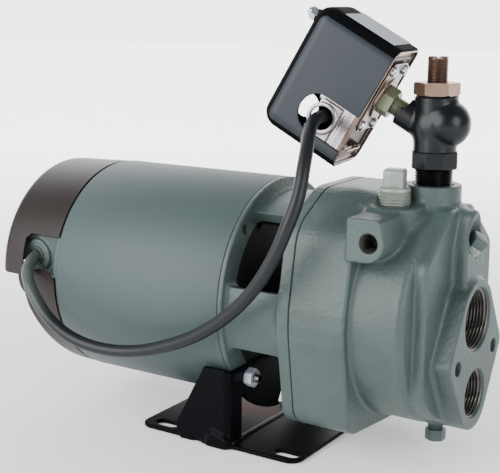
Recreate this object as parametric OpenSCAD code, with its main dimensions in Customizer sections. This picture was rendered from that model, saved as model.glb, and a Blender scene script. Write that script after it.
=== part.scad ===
// Convertible jet pump: a two-port pump head on an open-drip electric motor,
// with a pressure regulator valve and a pressure switch on its outlet.
// The motor shaft lies along +X and the suction face looks to +X. The origin
// is the centre of the four foot slots, on the floor.

/* [Stance] */
// Height of the shaft above the floor
shaft_h = 100; // [98:1:104]

/* [Motor] */
// Outer radius of the motor shell
shell_r = 82.5; // [82.5:0.5:86]
// Wall of the rolled steel shell
shell_t = 1.6; // [1.2:0.1:1.6]
// Rear edge of the shell
shell_x0 = -141; // [-145:1:-139]
// Front edge of the shell
shell_x1 = 4; // [4:1:4]
// Length of the stator stack
stack_len = 70; // [50:1:76]
// Radius of the rotor
rotor_r = 44.6; // [40:0.1:44.6]
// Rear end of the canopy
canopy_x = -199; // [-200:1:-197]

/* [Shaft] */
// Radius of the shaft in its bearings
journal_r = 8.47; // [8.44:0.01:8.48]
// Bore radius of both ball bearings
bearing_bore_r = 8.5; // [8.5:0.1:8.5]
// Outer radius of both ball bearings
bearing_r = 20; // [20:1:20]

/* [Pump head] */
// Rear face of the casing
casing_x0 = 59; // [59:1:59]
// Port face of the casing
face_x = 159; // [159:1:162]
// Radius of the round middle of the casing
drum_r = 74; // [72:0.5:76]
// Radius of the suction port, 1-1/4 inch pipe thread
suction_r = 19.6; // [19:0.1:20]
// Radius of the drive port, 1 inch pipe thread
drive_r = 15.2; // [14.7:0.1:15.4]
// Drop of the drive port below the suction port
port_gap = 52; // [51:1:53]
// Half the distance between the two face bolt holes
face_bolt_y = 31.6; // [31:0.1:32]
// Outer radius of the impeller
impeller_r = 55; // [48:1:57]

/* [Outlet] */
// Position of the outlet along the shaft
outlet_x = 123; // [122:0.5:124]
// Radius of the outlet's 3/4 inch pipe thread
outlet_r = 12.6; // [12.4:0.1:12.8]
// Elevation of the branch to the switch
branch_tilt = 30; // [28:1:32]
// Turn of that branch towards the near side
branch_turn = 8; // [6:1:10]

/* [Pressure switch] */
// Length of the cover
cover_a = 91; // [86:1:92]
// Width of the cover
cover_b = 54; // [53:1:54]
// Height of the cover
cover_n = 61; // [59:1:62]

/* [Foot] */
// Slot spacing along the shaft
slot_dx = 102; // [100:1:104]
// Slot spacing across the shaft
slot_dy = 130; // [128:1:132]
// End-to-end length of a slot
slot_len = 19; // [17:1:20]
// Width of a slot
slot_w = 9; // [8:0.5:10]
// Thickness of the foot's steel
foot_t = 3; // [2.5:0.5:3]

/* [Cord] */
// Diameter of the cord from motor to switch
cord_d = 9; // [8:0.5:9]

/* [Hidden] */

$fn = 64;
e = 0.01;                                   // overlap of joined shapes and cuts
bore_r = shell_r - shell_t;                 // inside of the shell
stator_r = 45;                              // bore of the stator stack
stack_x0 = -72 - stack_len / 2;             // rear end of the stack
bolt_circle = 74.6;                         // radius of the through bolts' circle
bolt_r = 3;
nut_af = 10;
bell_x = -147;                              // rear face of the rear end bell
foot_x = shell_x1 + 4;                      // the foot's wall stands on the bracket's ring
flange_x = 50;                              // rear face of the bracket's front flange
gasket_t = 0.5;
flange_t = casing_x0 - gasket_t - flange_x;
block_x = 100;                              // front face of the casing's square block
drum_x = 137;                               // front face of the drum
slab_x = 145;                               // front face of the raised slab
casing_bolts_at = [[60, 48], [-60, 48], [58, -60], [-58, -60]];
vent_at = [107.5, -27];                     // axis of the vent plug
vent_z = 177;                               // top of the vent boss
gauge_at = [113.4, 159.8];                  // axis of the gauge port
side_y = -76;                               // face of the gauge boss
drain_x = 132;
plug_at = [150.5, 147.3];                   // seat of the front plug, in its recess
outlet_z = 188.7;                           // top of the outlet boss
branch_z = 223;                             // height where the branch meets the valve
plate_n = 44.7;                             // distance from the valve axis to the switch
cover_shift = -8.5;                         // the cover sits low on its inlet
cover_nut_at = [26, -16];                   // place of the cover's nut
clamp_a = -28;                              // place of the cable hole on the switch
clamp_n = 23.5;
conduit = [-171, 115];                      // axis of the motor's cable entry
cord_points = [
    [-172, -60, 117.5], [-171, -71.5, 115], [-169.5, -78, 112.5], [-167, -84, 109.5],
    [-163.5, -89, 106], [-158.5, -93, 101.5], [-152.5, -96.5, 96], [-138.5, -99, 82],
    [-126, -98.5, 72.5], [-114, -97.5, 66.5], [-98, -96, 62.5], [-78, -95, 62],
    [-59, -94, 64.5], [-39.5, -94, 70], [-10, -94, 82.5], [15, -94.5, 98.5],
    [34.5, -96.5, 115.5], [49, -98.5, 132.5], [60, -99, 150.5], [67.5, -98, 168],
    [71.5, -94.5, 182], [72.5, -90, 193.5], [71.5, -84.5, 205], [69, -76.5, 215.5],
    [65, -67.5, 223], [61.5, -58, 228], [59, -47.5, 231.5], [57.5, -35, 232.5],
    [57, -22, 232]];
cord_sides = 10;

// ---- Placing helpers ----

// Draws in the plane across the shaft: local X is row Y, local Y is height above the
// shaft, and local Z is row X.
module across(x = 0) {
    translate([x, 0, shaft_h]) rotate([90, 0, 90]) children();
}

// A body of revolution about the shaft. Points are [radius, row X].
module turned(points) {
    across() rotate_extrude($fn = 96) polygon(points);
}

// A disc or ring about the shaft from x0 to x1.
module ring(x0, x1, outer, inner = 0) {
    across(x0) difference() {
        cylinder(h = x1 - x0, r = outer);
        if (inner > 0) translate([0, 0, -1]) cylinder(h = x1 - x0 + 2, r = inner);
    }
}

// A rod along the shaft's direction, at [y, z above the shaft].
module rod(x0, x1, r, at = [0, 0], sides = 32, turn = 0) {
    across(x0) translate([at[0], at[1], 0]) rotate([0, 0, turn])
        cylinder(h = x1 - x0, r = r, $fn = sides);
}

// A prism between the two sides of a plane across the width, drawn in X and row Z.
module along_y(y0, y1) {
    translate([0, y1, 0]) rotate([90, 0, 0]) linear_extrude(y1 - y0) children();
}

// The valve's axis, from the floor up.
module on_outlet(z = 0) {
    translate([outlet_x, 0, z]) children();
}

// The switch's own frame: X runs up its length, Y away to the far side, Z outwards
// along the branch from the valve's axis.
module on_branch(n = 0) {
    on_outlet(branch_z) rotate([0, 0, branch_turn]) rotate([0, branch_tilt - 90, 0])
        translate([0, 0, n]) children();
}

// A hexagonal prism with the given distance across its flats.
module hexagon(af, h) {
    cylinder(h = h, r = af / sqrt(3), $fn = 6);
}

// A rectangle with round corners, centred.
module round_rect(w, h, r) {
    hull() for (x = [-1, 1], y = [-1, 1])
        translate([x * (w / 2 - r), y * (h / 2 - r)]) circle(r, $fn = 32);
}

// A compression spring, drawn as a stack of plain rings.
module coil_rings(r, wire, h, turns) {
    pitch = (h - wire) / (turns - 1);
    for (i = [0 : turns - 1]) translate([0, 0, wire / 2 + i * pitch])
        rotate_extrude($fn = 48) translate([r, 0]) circle(wire / 2, $fn = 16);
    translate([r, 0, wire / 2]) cylinder(h = h - wire, r = wire * 0.4, $fn = 16);
}

// ---- Motor ----

module motor_shell() color("slategray")
    ring(shell_x0, shell_x1, shell_r, bore_r);

module stator_core() color("dimgray") difference() {
    ring(stack_x0, stack_x0 + stack_len, bore_r, stator_r);
    for (i = [0 : 23]) rod(stack_x0 - 1, stack_x0 + stack_len + 1, 3.5,
        54 * [cos(i * 15), sin(i * 15)]);
    for (i = [0 : 3]) rod(stack_x0 - 1, stack_x0 + stack_len + 1, bolt_r + 0.4,
        bolt_circle * [cos(45 + i * 90), sin(45 + i * 90)]);
}

module stator_windings() color("firebrick") {
    for (i = [0 : 23]) rod(stack_x0 - 4, stack_x0 + stack_len + 4, 3.5,
        54 * [cos(i * 15), sin(i * 15)]);
    for (x = [stack_x0 - 22, stack_x0 + stack_len + 3])
        turned([[48, x + 5], [53, x], [63, x], [67, x + 5], [67, x + 14], [63, x + 19],
                [53, x + 19], [48, x + 14]]);
}

module rotor_core() color("gray") difference() {
    ring(stack_x0, stack_x0 + stack_len, rotor_r, 12);
    for (i = [0 : 15]) rod(stack_x0 - 1, stack_x0 + stack_len + 1, 3,
        38 * [cos(i * 22.5), sin(i * 22.5)]);
}

module rotor_cage() color("silver") {
    for (i = [0 : 15]) rod(stack_x0 - 2, stack_x0 + stack_len + 2, 3,
        38 * [cos(i * 22.5), sin(i * 22.5)]);
    for (x = [stack_x0 - 7, stack_x0 + stack_len]) ring(x, x + 7, 43, 30);
    for (i = [0 : 5]) across() rotate([0, 0, i * 60]) {
        translate([31, -1.5, stack_x0 - 18]) cube([11, 3, 12]);
        translate([31, -1.5, stack_x0 + stack_len + 6]) cube([11, 3, 12]);
    }
}

module shaft() color("lightgray") turned([
    [0, -168], [7, -168], [7, -151.5], [journal_r, -151.5], [journal_r, -137.5], [12, -137.5],
    [12, -4.5], [journal_r, -4.5], [journal_r, 12], [8, 12], [8, 64], [5.5, 64],
    [5.5, 82], [0, 82]]);

module bearing(x) {
    ring(x, x + 12, bearing_r, 16.6);
    ring(x, x + 12, 12, bearing_bore_r);
    for (i = [0 : 7]) across(x + 6) rotate([0, 0, i * 45]) translate([14.3, 0, 0])
        sphere(r = 2.1, $fn = 32);
}

module front_bearing() color("silver") bearing(-4);

module rear_bearing() color("silver") bearing(-150);

module wave_washer() color("darkgray") ring(-151.2, -150.2, 19.4, 15);

module rear_end_bell() color("slategray") difference() {
    union() {
        turned([[bearing_r, -138], [26, -138], [26, -141], [76.5, -141], [76.5, -136],
                [bore_r, -136], [bore_r, shell_x0], [82, shell_x0], [82, shell_x0 - 1.2],
                [79.5, shell_x0 - 1.2], [79.5, bell_x], [26, bell_x], [26, -154], [13, -154],
                [13, -151.2], [bearing_r, -151.2]]);
        cord_box();
        for (y = [-1, 1]) rod(canopy_x + 1.5, bell_x + 1, 5, [45 * y, 45]);
    }
    along_y(-64.5, -48) translate([-179, 104]) square([31, 24]);
    along_y(-75, -50) translate(conduit) circle(6.5, $fn = 48);
    for (i = [0 : 3]) across(bell_x - 1) rotate([0, 0, 90 * i + 45])
        translate([32, -13, 0]) cube([24, 26, 12]);
    for (i = [0 : 3]) rod(bell_x - 1, -130, bolt_r + 0.2,
        bolt_circle * [cos(45 + i * 90), sin(45 + i * 90)]);
    for (y = [-1, 1]) rod(canopy_x, canopy_x + 14, 2, [45 * y, 45]);
}

// The box on the rear end bell where the cord comes in, with its round boss.
module cord_box() {
    along_y(-68, -46) polygon([[-182, 101], [-161, 101], [-155, 93], [bell_x + 1, 92],
        [bell_x + 1, 131], [-177, 131], [-182, 126]]);
    along_y(-70, -60) translate(conduit) circle(13, $fn = 48);
}

// The casting that closes the motor's front and carries the pump: a ring with a
// bearing hub, three broad arms and the square flange.
module motor_bracket() color("slategray") difference() {
    union() {
        turned([[bearing_r, -6], [28, -6], [28, 0], [76, 0], [bore_r, 0], [bore_r, shell_x1],
                [shell_r, shell_x1], [shell_r, foot_x], [28, foot_x], [28, 12],
                [14, 12], [14, 8.2], [bearing_r, 8.2]]);
        arm(-20, 13, 78);
        arm(167, 200, 78);
        arm(58, 122, 74);
        across(flange_x) linear_extrude(flange_t) casing_outline();
        ring(flange_x - 8, flange_x + 1, 20);
    }
    ring(flange_x - 9, flange_x + flange_t + 1, 9.5);
    ring(flange_x - 2, flange_x + flange_t + 1, 15);
    for (i = [0 : 3]) rod(-7, foot_x + 1, bolt_r + 0.3,
        bolt_circle * [cos(45 + i * 90), sin(45 + i * 90)]);
    for (i = [0 : 5]) across(-1) rotate([0, 0, 60 * i]) translate([36, -12, 0])
        cube([24, 24, 8.9]);
    for (p = casing_bolts_at) rod(flange_x - 1, flange_x + flange_t + 1, 5, p);
}

// One arm of the bracket, between two angles round the shaft.
module arm(a0, a1, outer) {
    across(foot_x - 1) linear_extrude(flange_x - foot_x + 2) intersection() {
        difference() {
            circle(outer);
            circle(outer - 11);
        }
        polygon([[0, 0], for (i = [0 : 4]) let (t = a0 + (a1 - a0) * i / 4) 130 * [cos(t), sin(t)]]);
    }
}

module rear_canopy() color("#3b2d2a") difference() {
    turned([[80.7, bell_x + 3.4], [82.2, bell_x + 3.4], [80.5, canopy_x + 7],
            [79.6, canopy_x + 3], [77.4, canopy_x + 0.8], [74, canopy_x], [0, canopy_x],
            [0, canopy_x + 1.5], [73.6, canopy_x + 1.5], [76.6, canopy_x + 2.2],
            [78.2, canopy_x + 4], [79, canopy_x + 8]]);
    canopy_cut();
    along_y(-90, -66) translate([-182.6, 100]) square([47.6, 32]);
    for (y = [-1, 1]) rod(canopy_x - 1, canopy_x + 3, 2.2, [45 * y, 45]);
}

// What the canopy leaves open: below the shaft it slopes up and forward.
module canopy_cut() {
    along_y(-100, 100) polygon([[canopy_x - 5, shaft_h + 1], [-176, shaft_h + 1], [-176, 88],
        [-166, 50], [-156, 10], [-156, 0], [canopy_x - 5, 0]]);
}

module canopy_screws() color("silver") for (y = [-1, 1]) {
    rod(canopy_x - 2.5, canopy_x, 4, [45 * y, 45]);
    rod(canopy_x - 1, canopy_x + 12, 1.95, [45 * y, 45]);
}

module through_bolts() color("gray") for (i = [0 : 3]) {
    at = bolt_circle * [cos(45 + i * 90), sin(45 + i * 90)];
    rod(bell_x - 4, bell_x, nut_af / sqrt(3), at, 6);
    rod(bell_x - 1, i < 2 ? foot_x - 3 : foot_x + 13, bolt_r, at);
}

// The two lower bolts clamp the foot; the two upper ones end inside the bracket's ring.
module through_bolt_nuts() color("silver") for (i = [2, 3]) {
    at = bolt_circle * [cos(45 + i * 90), sin(45 + i * 90)];
    difference() {
        rod(foot_x + foot_t, foot_x + foot_t + 6, 12 / sqrt(3), at, 6);
        rod(foot_x, foot_x + foot_t + 7, bolt_r, at);
    }
}

module governor_hub() color("goldenrod") difference() {
    union() {
        ring(-167.5, -163, 18);
        ring(-164, -156, 9.5);
    }
    ring(-169, -155, 7);
}

// Slides along the governor's hub, away from the start switch.
module governor_spool() color("saddlebrown") difference() {
    union() {
        ring(-159, -156.6, 17);
        ring(-159, -155.4, 12.5);
    }
    ring(-160, -155, 9.55);
}

module start_switch() color("darkolivegreen") {
    translate([-155.2, -14, shaft_h + 27.5]) cube([2, 28, 22]);
    translate([-155, -4, shaft_h + 45]) cube([8, 8, 3]);
    translate([-160, -4, shaft_h + 18]) cube([1.5, 8, 14]);
    translate([-159, -4, shaft_h + 29]) cube([5, 8, 3]);
}

module capacitor() color("black") {
    along_y(-34, 34) translate([-176, shaft_h + 46]) circle(15, $fn = 48);
    along_y(33, 38) for (x = [-4, 4]) translate([-176 + x, shaft_h + 46]) square(3, center = true);
}

module capacitor_strap() color("silver") difference() {
    along_y(15, 24) {
        translate([-176, shaft_h + 46]) circle(16.2, $fn = 48);
        translate([-160.5, shaft_h + 44]) square([13.5, 3]);
    }
    along_y(14, 25) translate([-176, shaft_h + 46]) circle(15, $fn = 48);
}

module overload_protector() color("darkslategray")
    translate([-160, 38, shaft_h - 4]) rotate([0, 90, 0]) {
        cylinder(h = 9, r = 12);
        translate([0, 0, 8]) cylinder(h = 5, r = 5);
    }

module motor_strain_relief() color("dimgray") difference() {
    translate([conduit[0], -50, conduit[1]]) rotate([90, 0, 0]) {
        translate([0, 0, 6]) cylinder(h = 20, r = 6.5);
        translate([0, 0, 20]) cylinder(h = 3, r = 7);
        translate([0, 0, 22]) cylinder(h = 2, r = 6);
    }
    translate([conduit[0], -40, conduit[1]]) rotate([90, 0, 0]) cylinder(h = 40, r = cord_d / 2 + 0.4);
}

module slinger() color("black") difference() {
    turned([[8, 24], [12, 24], [19, 27], [19, 29], [12, 30], [8, 30]]);
}

// ---- Foot ----

module base_foot() color("#10131c") {
    linear_extrude(foot_t) difference() {
        translate([-3, 0]) round_rect(134, 150, 10);
        for (x = [-1, 1], y = [-1, 1]) translate([x * slot_dx / 2, y * slot_dy / 2]) slot();
    }
    difference() {
        intersection() {
            linear_extrude(60) difference() {
                fold(6, 0);
                fold(3, 3);
            }
            along_y(-80, 80) polygon([[foot_x + foot_t, 0], [foot_x + foot_t, 55], [5, 57],
                [-14.5, 57], [-37, 8], [-44, 0]]);
        }
        across(foot_x - 1) linear_extrude(foot_t + 2) wall_openings();
        for (y = [-1, 1]) rod(foot_x - 1, foot_x + foot_t + 1, bolt_r + 0.4,
            bolt_circle * [y * cos(45), -sin(45)]);
    }
}

// Plan of the upright sheet, which turns back on both sides with a bend of radius r.
module fold(r, inset) {
    hull() {
        for (y = [-71, 71]) translate([foot_x + foot_t - 6, y]) circle(r, $fn = 32);
        translate([-60, inset - 77]) square([1, 2 * (77 - inset)]);
    }
}

// Clearance round the shaft, and the opening under the motor.
module wall_openings() {
    circle(46);
    intersection() {
        polygon([[-58, -40], [58, -40], [70, foot_t - shaft_h], [-70, foot_t - shaft_h]]);
        difference() {
            circle(130);
            circle(88);
        }
    }
}

module slot() {
    for (x = [-1, 1]) translate([x * (slot_len - slot_w) / 2, 0]) circle(slot_w / 2, $fn = 32);
    square([slot_len - slot_w, slot_w], center = true);
}

// ---- Pump head ----

// The rounded-square outline shared by the bracket's flange, the gasket and the casing.
module casing_outline(grow = 0) {
    hull() {
        for (y = [-1, 1]) {
            translate([20 * y, 45]) circle(39.5 + grow, $fn = 40);
            translate([46 * y, 46]) circle(26 + grow, $fn = 40);
            translate([55 * y, -58]) circle(17 + grow, $fn = 40);
        }
        circle(80 + grow, $fn = 64);
    }
}

// The diamond outline of the port face.
module face_outline() {
    hull() {
        circle(27.5, $fn = 40);
        for (y = [-1, 1]) translate([37 * y, -24]) circle(8, $fn = 32);
        translate([0, -port_gap]) circle(25, $fn = 40);
    }
}

module pump_casing() color("slategray") difference() {
    union() {
        across(casing_x0) linear_extrude(block_x - casing_x0) casing_outline();
        turned([[0, block_x - 1], [drum_r, block_x - 1], [drum_r, drum_x - 5],
                [drum_r - 1.5, drum_x - 1.5], [drum_r - 5, drum_x], [0, drum_x]]);
        across(drum_x - 1) linear_extrude(slab_x - drum_x + 1) intersection() {
            translate([0, -11]) round_rect(110, 122, 30);
            circle(drum_r - 1);
        }
        across(slab_x - 1) linear_extrude(face_x - slab_x + 1) face_outline();
        nose();
        on_outlet(shaft_h) cylinder(h = outlet_z - shaft_h, r = 18);
        translate([vent_at[0], vent_at[1], shaft_h]) cylinder(h = vent_z - shaft_h, r = 20);
        side_boss();
        translate([drain_x, 0, 22]) cylinder(h = 15, r = 7.5);
    }
    casing_bores();
}

module nose() {
    across(slab_x - 10) linear_extrude(20) hull() {
        translate([0, 46]) circle(15, $fn = 32);
        translate([0, 66]) circle(7, $fn = 32);
        translate([0, 30]) circle(15, $fn = 32);
    }
}

module side_boss() {
    along_y(side_y, -20) hull() {
        translate([98, 147]) square([10, 26]);
        translate([111, 160]) circle(13, $fn = 32);
        translate([112, 172]) square([10, 3]);
    }
}

module casing_bores() {
    difference() {                                                 // water chamber
        ring(casing_x0 - 1, 128, 66);
        ring(109, 129, 27);
    }
    ring(108, 121.5, 22);                                          // seat of the diffuser
    ring(121, face_x - 25, 17);                                    // suction passage
    ring(face_x - 26, face_x + 1, suction_r);                      // suction port
    rod(face_x - 24, face_x + 1, drive_r, [0, -port_gap], 64);     // drive port
    rod(120, face_x - 23, 12, [0, -port_gap], 64);
    for (y = [-1, 1]) rod(face_x - 16, face_x + 1, 4.2, [y * face_bolt_y, -port_gap / 2]);
    on_outlet(shaft_h + 40) cylinder(h = 60, r = outlet_r);
    translate([vent_at[0], vent_at[1], shaft_h + 40]) cylinder(h = 60, r = 10.4);
    along_y(side_y - 1, side_y + 18) translate(gauge_at) circle(6, $fn = 48);
    along_y(side_y + 17, -20) translate(gauge_at) circle(2.5, $fn = 32);
    translate([drain_x, 0, 16]) cylinder(h = 30, r = 5.2);
    for (p = casing_bolts_at) rod(casing_x0 - 1, casing_x0 + 28, 4.2, p);
    front_plug_place() {
        translate([0, 0, -12]) cylinder(h = 20, r = 6.6);
        translate([0, 0, 2.8]) cylinder(h = 30, r = 11);
        translate([0, 0, -40]) cylinder(h = 30, r = 3);
    }
}

module front_plug_place() {
    translate([plug_at[0], 0, plug_at[1]]) rotate([0, 42, 0]) children();
}

module body_gasket() color("darkgreen") difference() {
    across(flange_x + flange_t) linear_extrude(gasket_t) casing_outline();
    ring(flange_x + flange_t - 1, casing_x0 + 1, 66);
    for (p = casing_bolts_at) rod(flange_x + flange_t - 1, casing_x0 + 1, 5, p);
}

module casing_bolts() color("gray") for (p = casing_bolts_at) {
    rod(flange_x - 6, flange_x, 14 / sqrt(3), p, 6);
    rod(flange_x - 1, casing_x0 + 24, 4.2, p);
}

module impeller() color("goldenrod") difference() {
    union() {
        ring(74, 77, impeller_r);                                  // back shroud
        ring(64, 84, 11);                                          // hub
        ring(84, 87, impeller_r, 16);                              // front shroud
        ring(86, 98, 19, 16);                                      // eye
        for (i = [0 : 5]) across(76) rotate([0, 0, i * 60]) translate([18, 0, 0])
            rotate([0, 0, -35]) translate([0, -1.25, 0]) cube([34, 2.5, 9]);
    }
    ring(62, 82, 5.5);
}

module diffuser() color("darkslategray") difference() {
    union() {
        ring(88, 91, 61, 19.5);
        ring(90, 108, 24, 19.5);
        ring(107, 121.5, 21.7, 16.5);
        ring(76, 90, 61, 58);
        for (i = [0 : 7]) across(90) rotate([0, 0, i * 45]) translate([30, -1.2, 0])
            cube([26, 2.4, 10]);
    }
    ring(118.4, 120.6, 30, 20);
}

module diffuser_oring() color("black") across(119.5) rotate_extrude($fn = 64)
    translate([20.95, 0]) circle(0.93, $fn = 16);

module seal_cup() color("black") difference() {
    ring(flange_x - 2, casing_x0 - 1.5, 15, 9.8);
    ring(flange_x, casing_x0, 13.2);
}

module seal_seat() color("white") ring(flange_x, casing_x0 + 0.5, 13.2, 9.4);

module seal_head() color("dimgray") {
    ring(casing_x0 + 0.5, casing_x0 + 3, 12.2, 8);
    ring(casing_x0 + 2.9, 63, 15, 8);
}

module seal_spring() color("silver") across(63) coil_rings(13.6, 1.6, 11, 4);

module pipe_plug(r, head, thread_h, head_h) {
    cylinder(h = thread_h + e, r = r);
    translate([-head / 2, -head / 2, thread_h]) cube([head, head, head_h]);
}

module vent_plug() color("gainsboro")
    translate([vent_at[0], vent_at[1], vent_z - 12]) rotate([0, 0, 12])
        pipe_plug(10.4, 13.5, 22, 14);

module front_plug() color("slategray") front_plug_place()
    translate([0, 0, -10]) rotate([0, 0, 45]) pipe_plug(6.6, 9.5, 13, 9);

module drain_plug() color("slategray") translate([drain_x, 0, 10]) {
    hexagon(12.5, 8);
    cylinder(h = 21.5, r = 5.2);
}

// ---- Regulator valve ----

module regulator_body() color("#15181d") difference() {
    union() {
        on_outlet(176) cylinder(h = 24, r = outlet_r);
        on_outlet(199.1) rotate([0, 0, 15]) cylinder(h = 11.8, r = 15.7, $fn = 8);
        on_outlet(210) cylinder(h = 28, r = 14.4);
        on_outlet(238 - e) cylinder(h = 9.4, r1 = 14.4, r2 = 12);
        translate([outlet_x + 8, 0, 229]) sphere(r = 15.5);
        translate([outlet_x - 3, 0, 227]) sphere(r = 15);
        on_branch(0) cylinder(h = 27, r = 9.8);
    }
    on_outlet(175) cylinder(h = 26, r = 9.5);
    on_outlet(200) cylinder(h = 40, r = 10.5);
    on_outlet(238) cylinder(h = 12, r = 7);
    on_branch(9) cylinder(h = 20, r = 5.6);
}

module regulator_piston() color("darkkhaki") {
    on_outlet(201.5) cylinder(h = 4, r = 10.43);
    on_outlet(205) cylinder(h = 8, r = 5);
}

module regulator_seal() color("black") difference() {
    on_outlet(200) cylinder(h = 1.5, r = 10.4);
    on_outlet(199) cylinder(h = 4, r = 3);
}

module regulator_spring() color("silver") on_outlet(205.6) coil_rings(7.5, 1.8, 22.2, 6);

module regulator_cap() color("darkgoldenrod") {
    on_outlet(228) cylinder(h = 3, r = 10);
    on_outlet(222) cylinder(h = 6.5, r = 5);
}

module regulator_screw() color("#6b4a35") difference() {
    on_outlet(231.05) cylinder(h = 272.6 - 231.05, r = 6.93);
    on_outlet(269.4) rotate([0, 0, 120]) translate([-10, -1.3, 0]) cube([20, 2.6, 6]);
}

module regulator_locknut() color("#b08a6a") difference() {
    on_outlet(247.4) rotate([0, 0, 8]) hexagon(26.6, 8.4);
    on_outlet(246) cylinder(h = 12, r = 7);
}

// ---- Pressure switch ----

module switch_nipple() color("#7d8a76") difference() {
    union() {
        on_branch(14) cylinder(h = 24, r = 5.6);
        on_branch(33) rotate([0, 0, 30]) hexagon(20, 8);
        on_branch(40) cylinder(h = 1.5, r = 7);
    }
    on_branch(13) cylinder(h = 32, r = 3);
}

// Where the four flange screws stand.
module flange_screws_at() {
    for (x = [-21, 21], y = [-12, 12]) translate([x, y, 0]) children();
}

module switch_flange() color("#b9a08c") on_branch(41.5) difference() {
    union() {
        cylinder(h = 2.3, r = 15.5);
        translate([0, 0, 2.2]) linear_extrude(2) round_rect(52, 36, 6);
    }
    translate([0, 0, -1]) cylinder(h = 4, r = 3);
    translate([0, 0, 2.6]) cylinder(h = 4, r = 14);
    flange_screws_at() cylinder(h = 6, r = 2);
}

module switch_diaphragm() color("black") on_branch(45.1) cylinder(h = 0.6, r = 13.8);

module switch_flange_screws() color("whitesmoke") on_branch(41.2) flange_screws_at() {
    cylinder(h = 2.5, r = 3.8, $fn = 24);
    translate([0, 0, 2]) cylinder(h = 4.5, r = 2);
}

// Folded steel tray of the switch: two ears carry the lever, and an upright wall with a
// round hole carries the cable clamp.
module switch_base() color("#b9a27e") on_branch(45.7) difference() {
    union() {
        translate([cover_shift, 0, 0]) difference() {
            linear_extrude(7) round_rect(cover_a - 3.2, cover_b - 4, 6.4);
            translate([0, 0, 2]) linear_extrude(12) round_rect(cover_a - 6, cover_b - 7, 5);
        }
        translate([-44, -24.5, 0]) cube([31, 1.6, 30]);
        for (y = [-9, 7.5]) translate([-18, y, 1]) cube([7, 1.5, 10]);
    }
    translate([clamp_a, -15, clamp_n - 4]) rotate([90, 0, 0]) cylinder(h = 20, r = 8);
    translate([0, 0, -1]) cylinder(h = 6, r = 8);
    translate([0, 0, -1]) flange_screws_at() cylinder(h = 6, r = 2);
    translate([-14, 12, 8]) rotate([90, 0, 0]) cylinder(h = 24, r = 1.5);
    translate([20, 0, -1]) cylinder(h = 6, r = 3);
}

module lever_pin() color("silver") on_branch(45.7) translate([-14, 10.5, 8]) rotate([90, 0, 0])
    cylinder(h = 21, r = 1.5);

// The lever that the diaphragm lifts against the range spring.
module switch_lever() color("#c8b06a") on_branch(45.7) difference() {
    union() {
        translate([-14, -6.8, 7.2]) cube([45, 13.6, 1.6]);
        translate([-14, 6.8, 8]) rotate([90, 0, 0]) cylinder(h = 13.6, r = 3);
        translate([0, 0, 0.4]) cylinder(h = 7, r = 5);
    }
    translate([-14, 12, 8]) rotate([90, 0, 0]) cylinder(h = 24, r = 1.55);
    translate([20, 0, 0]) cylinder(h = 20, r = 4.2);
}

module range_spring() color("silver") on_branch(45.7) translate([20, 0, 8.8])
    coil_rings(6, 1.6, 22.2, 6);

module range_nut() color("silver") on_branch(45.7) translate([20, 0, 0]) {
    cylinder(h = 42, r = 3);
    translate([0, 0, 32.2]) hexagon(13, 5);
}

module contact_block() color("#1c1c1c") on_branch(45.7) for (y = [-1, 1]) {
    translate([6, y * 17.5 - 4, 2]) cube([24, 8, 20]);
    translate([27, y * 11.75 - 2.25, 14]) cube([3, 4.5, 3]);
    for (x = [8, 20]) translate([x, y * 17.5 - 2.5, 21]) cube([5, 5, 3]);
}

module contact_arm() color("peru") on_branch(45.7)
    translate([27.2, -12, 8.8]) cube([3.6, 24, 3]);

module switch_cover() color("#2c3138") on_branch(45.7 - 1) difference() {
    translate([cover_shift, 0, 0]) soft_box(cover_a, cover_b, cover_n, 8);
    translate([cover_shift, 0, -1]) soft_box(cover_a - 3, cover_b - 3, cover_n - 0.5, 6.5);
    translate([0, -20, 0]) cord_cut(clamp_a, clamp_n + 1.5, 13.2);
    translate([-40.5, 40, 48.8]) rotate([90, 0, 0]) cylinder(h = 20, r = 8.5);     // far hole
    translate([cover_nut_at[0], cover_nut_at[1], 40]) cylinder(h = 30, r = 2.5);
}

// A cut through one side of the cover, round above and straight down to the rim.
module cord_cut(a, n, r) {
    translate([a, 0, n]) rotate([90, 0, 0]) cylinder(h = 20, r = r);
    translate([a - r, -20, -10]) cube([2 * r, 20, n + 10]);
}

// A box with round upright edges and stepped top edges.
module soft_box(a, b, h, r) {
    linear_extrude(h - 4) round_rect(a, b, r);
    translate([0, 0, h - 4 - e]) linear_extrude(2) round_rect(a - 2, b - 2, r - 1);
    translate([0, 0, h - 2 - 2 * e]) linear_extrude(2 + 2 * e) round_rect(a - 6, b - 6, r - 3);
}

module switch_cover_nut() color("silver") on_branch(44.7 + cover_n)
    translate([cover_nut_at[0], cover_nut_at[1], 0]) {
        translate([0, 0, -8]) cylinder(h = 9, r = 2.5);
        hexagon(9.5, 4);
        translate([0, 0, 3.8]) sphere(r = 3.8);
    }

// A bored plate on the upright wall, and a saddle bar that two screws pull down on the cord.
module cable_clamp() color("gainsboro") on_branch(45.7) difference() {
    union() {
        translate([clamp_a, -24.5, clamp_n - 4]) rotate([90, 0, 0]) cylinder(h = 2, r = 10.5);
        translate([-40, -26.5, clamp_n - 13]) cube([24, 2, 14]);
        translate([-43, -22.9, 24.4]) cube([30, 7, 2]);
    }
    translate([clamp_a, -23.5, clamp_n - 4]) rotate([90, 0, 0]) cylinder(h = 20, r = 8);
    for (x = [-40, -16]) translate([x, -19.3, 20]) cylinder(h = 10, r = 1.6);
}

module clamp_screws() color("white") for (x = [-40, -16]) on_branch(47.7)
    translate([x, -19.3, 0]) {
        cylinder(h = 25, r = 1.6);
        translate([0, 0, 24.4]) cylinder(h = 3, r = 3.3, $fn = 24);
    }

// ---- Cord ----

function unit(v) = v / norm(v);

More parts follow.
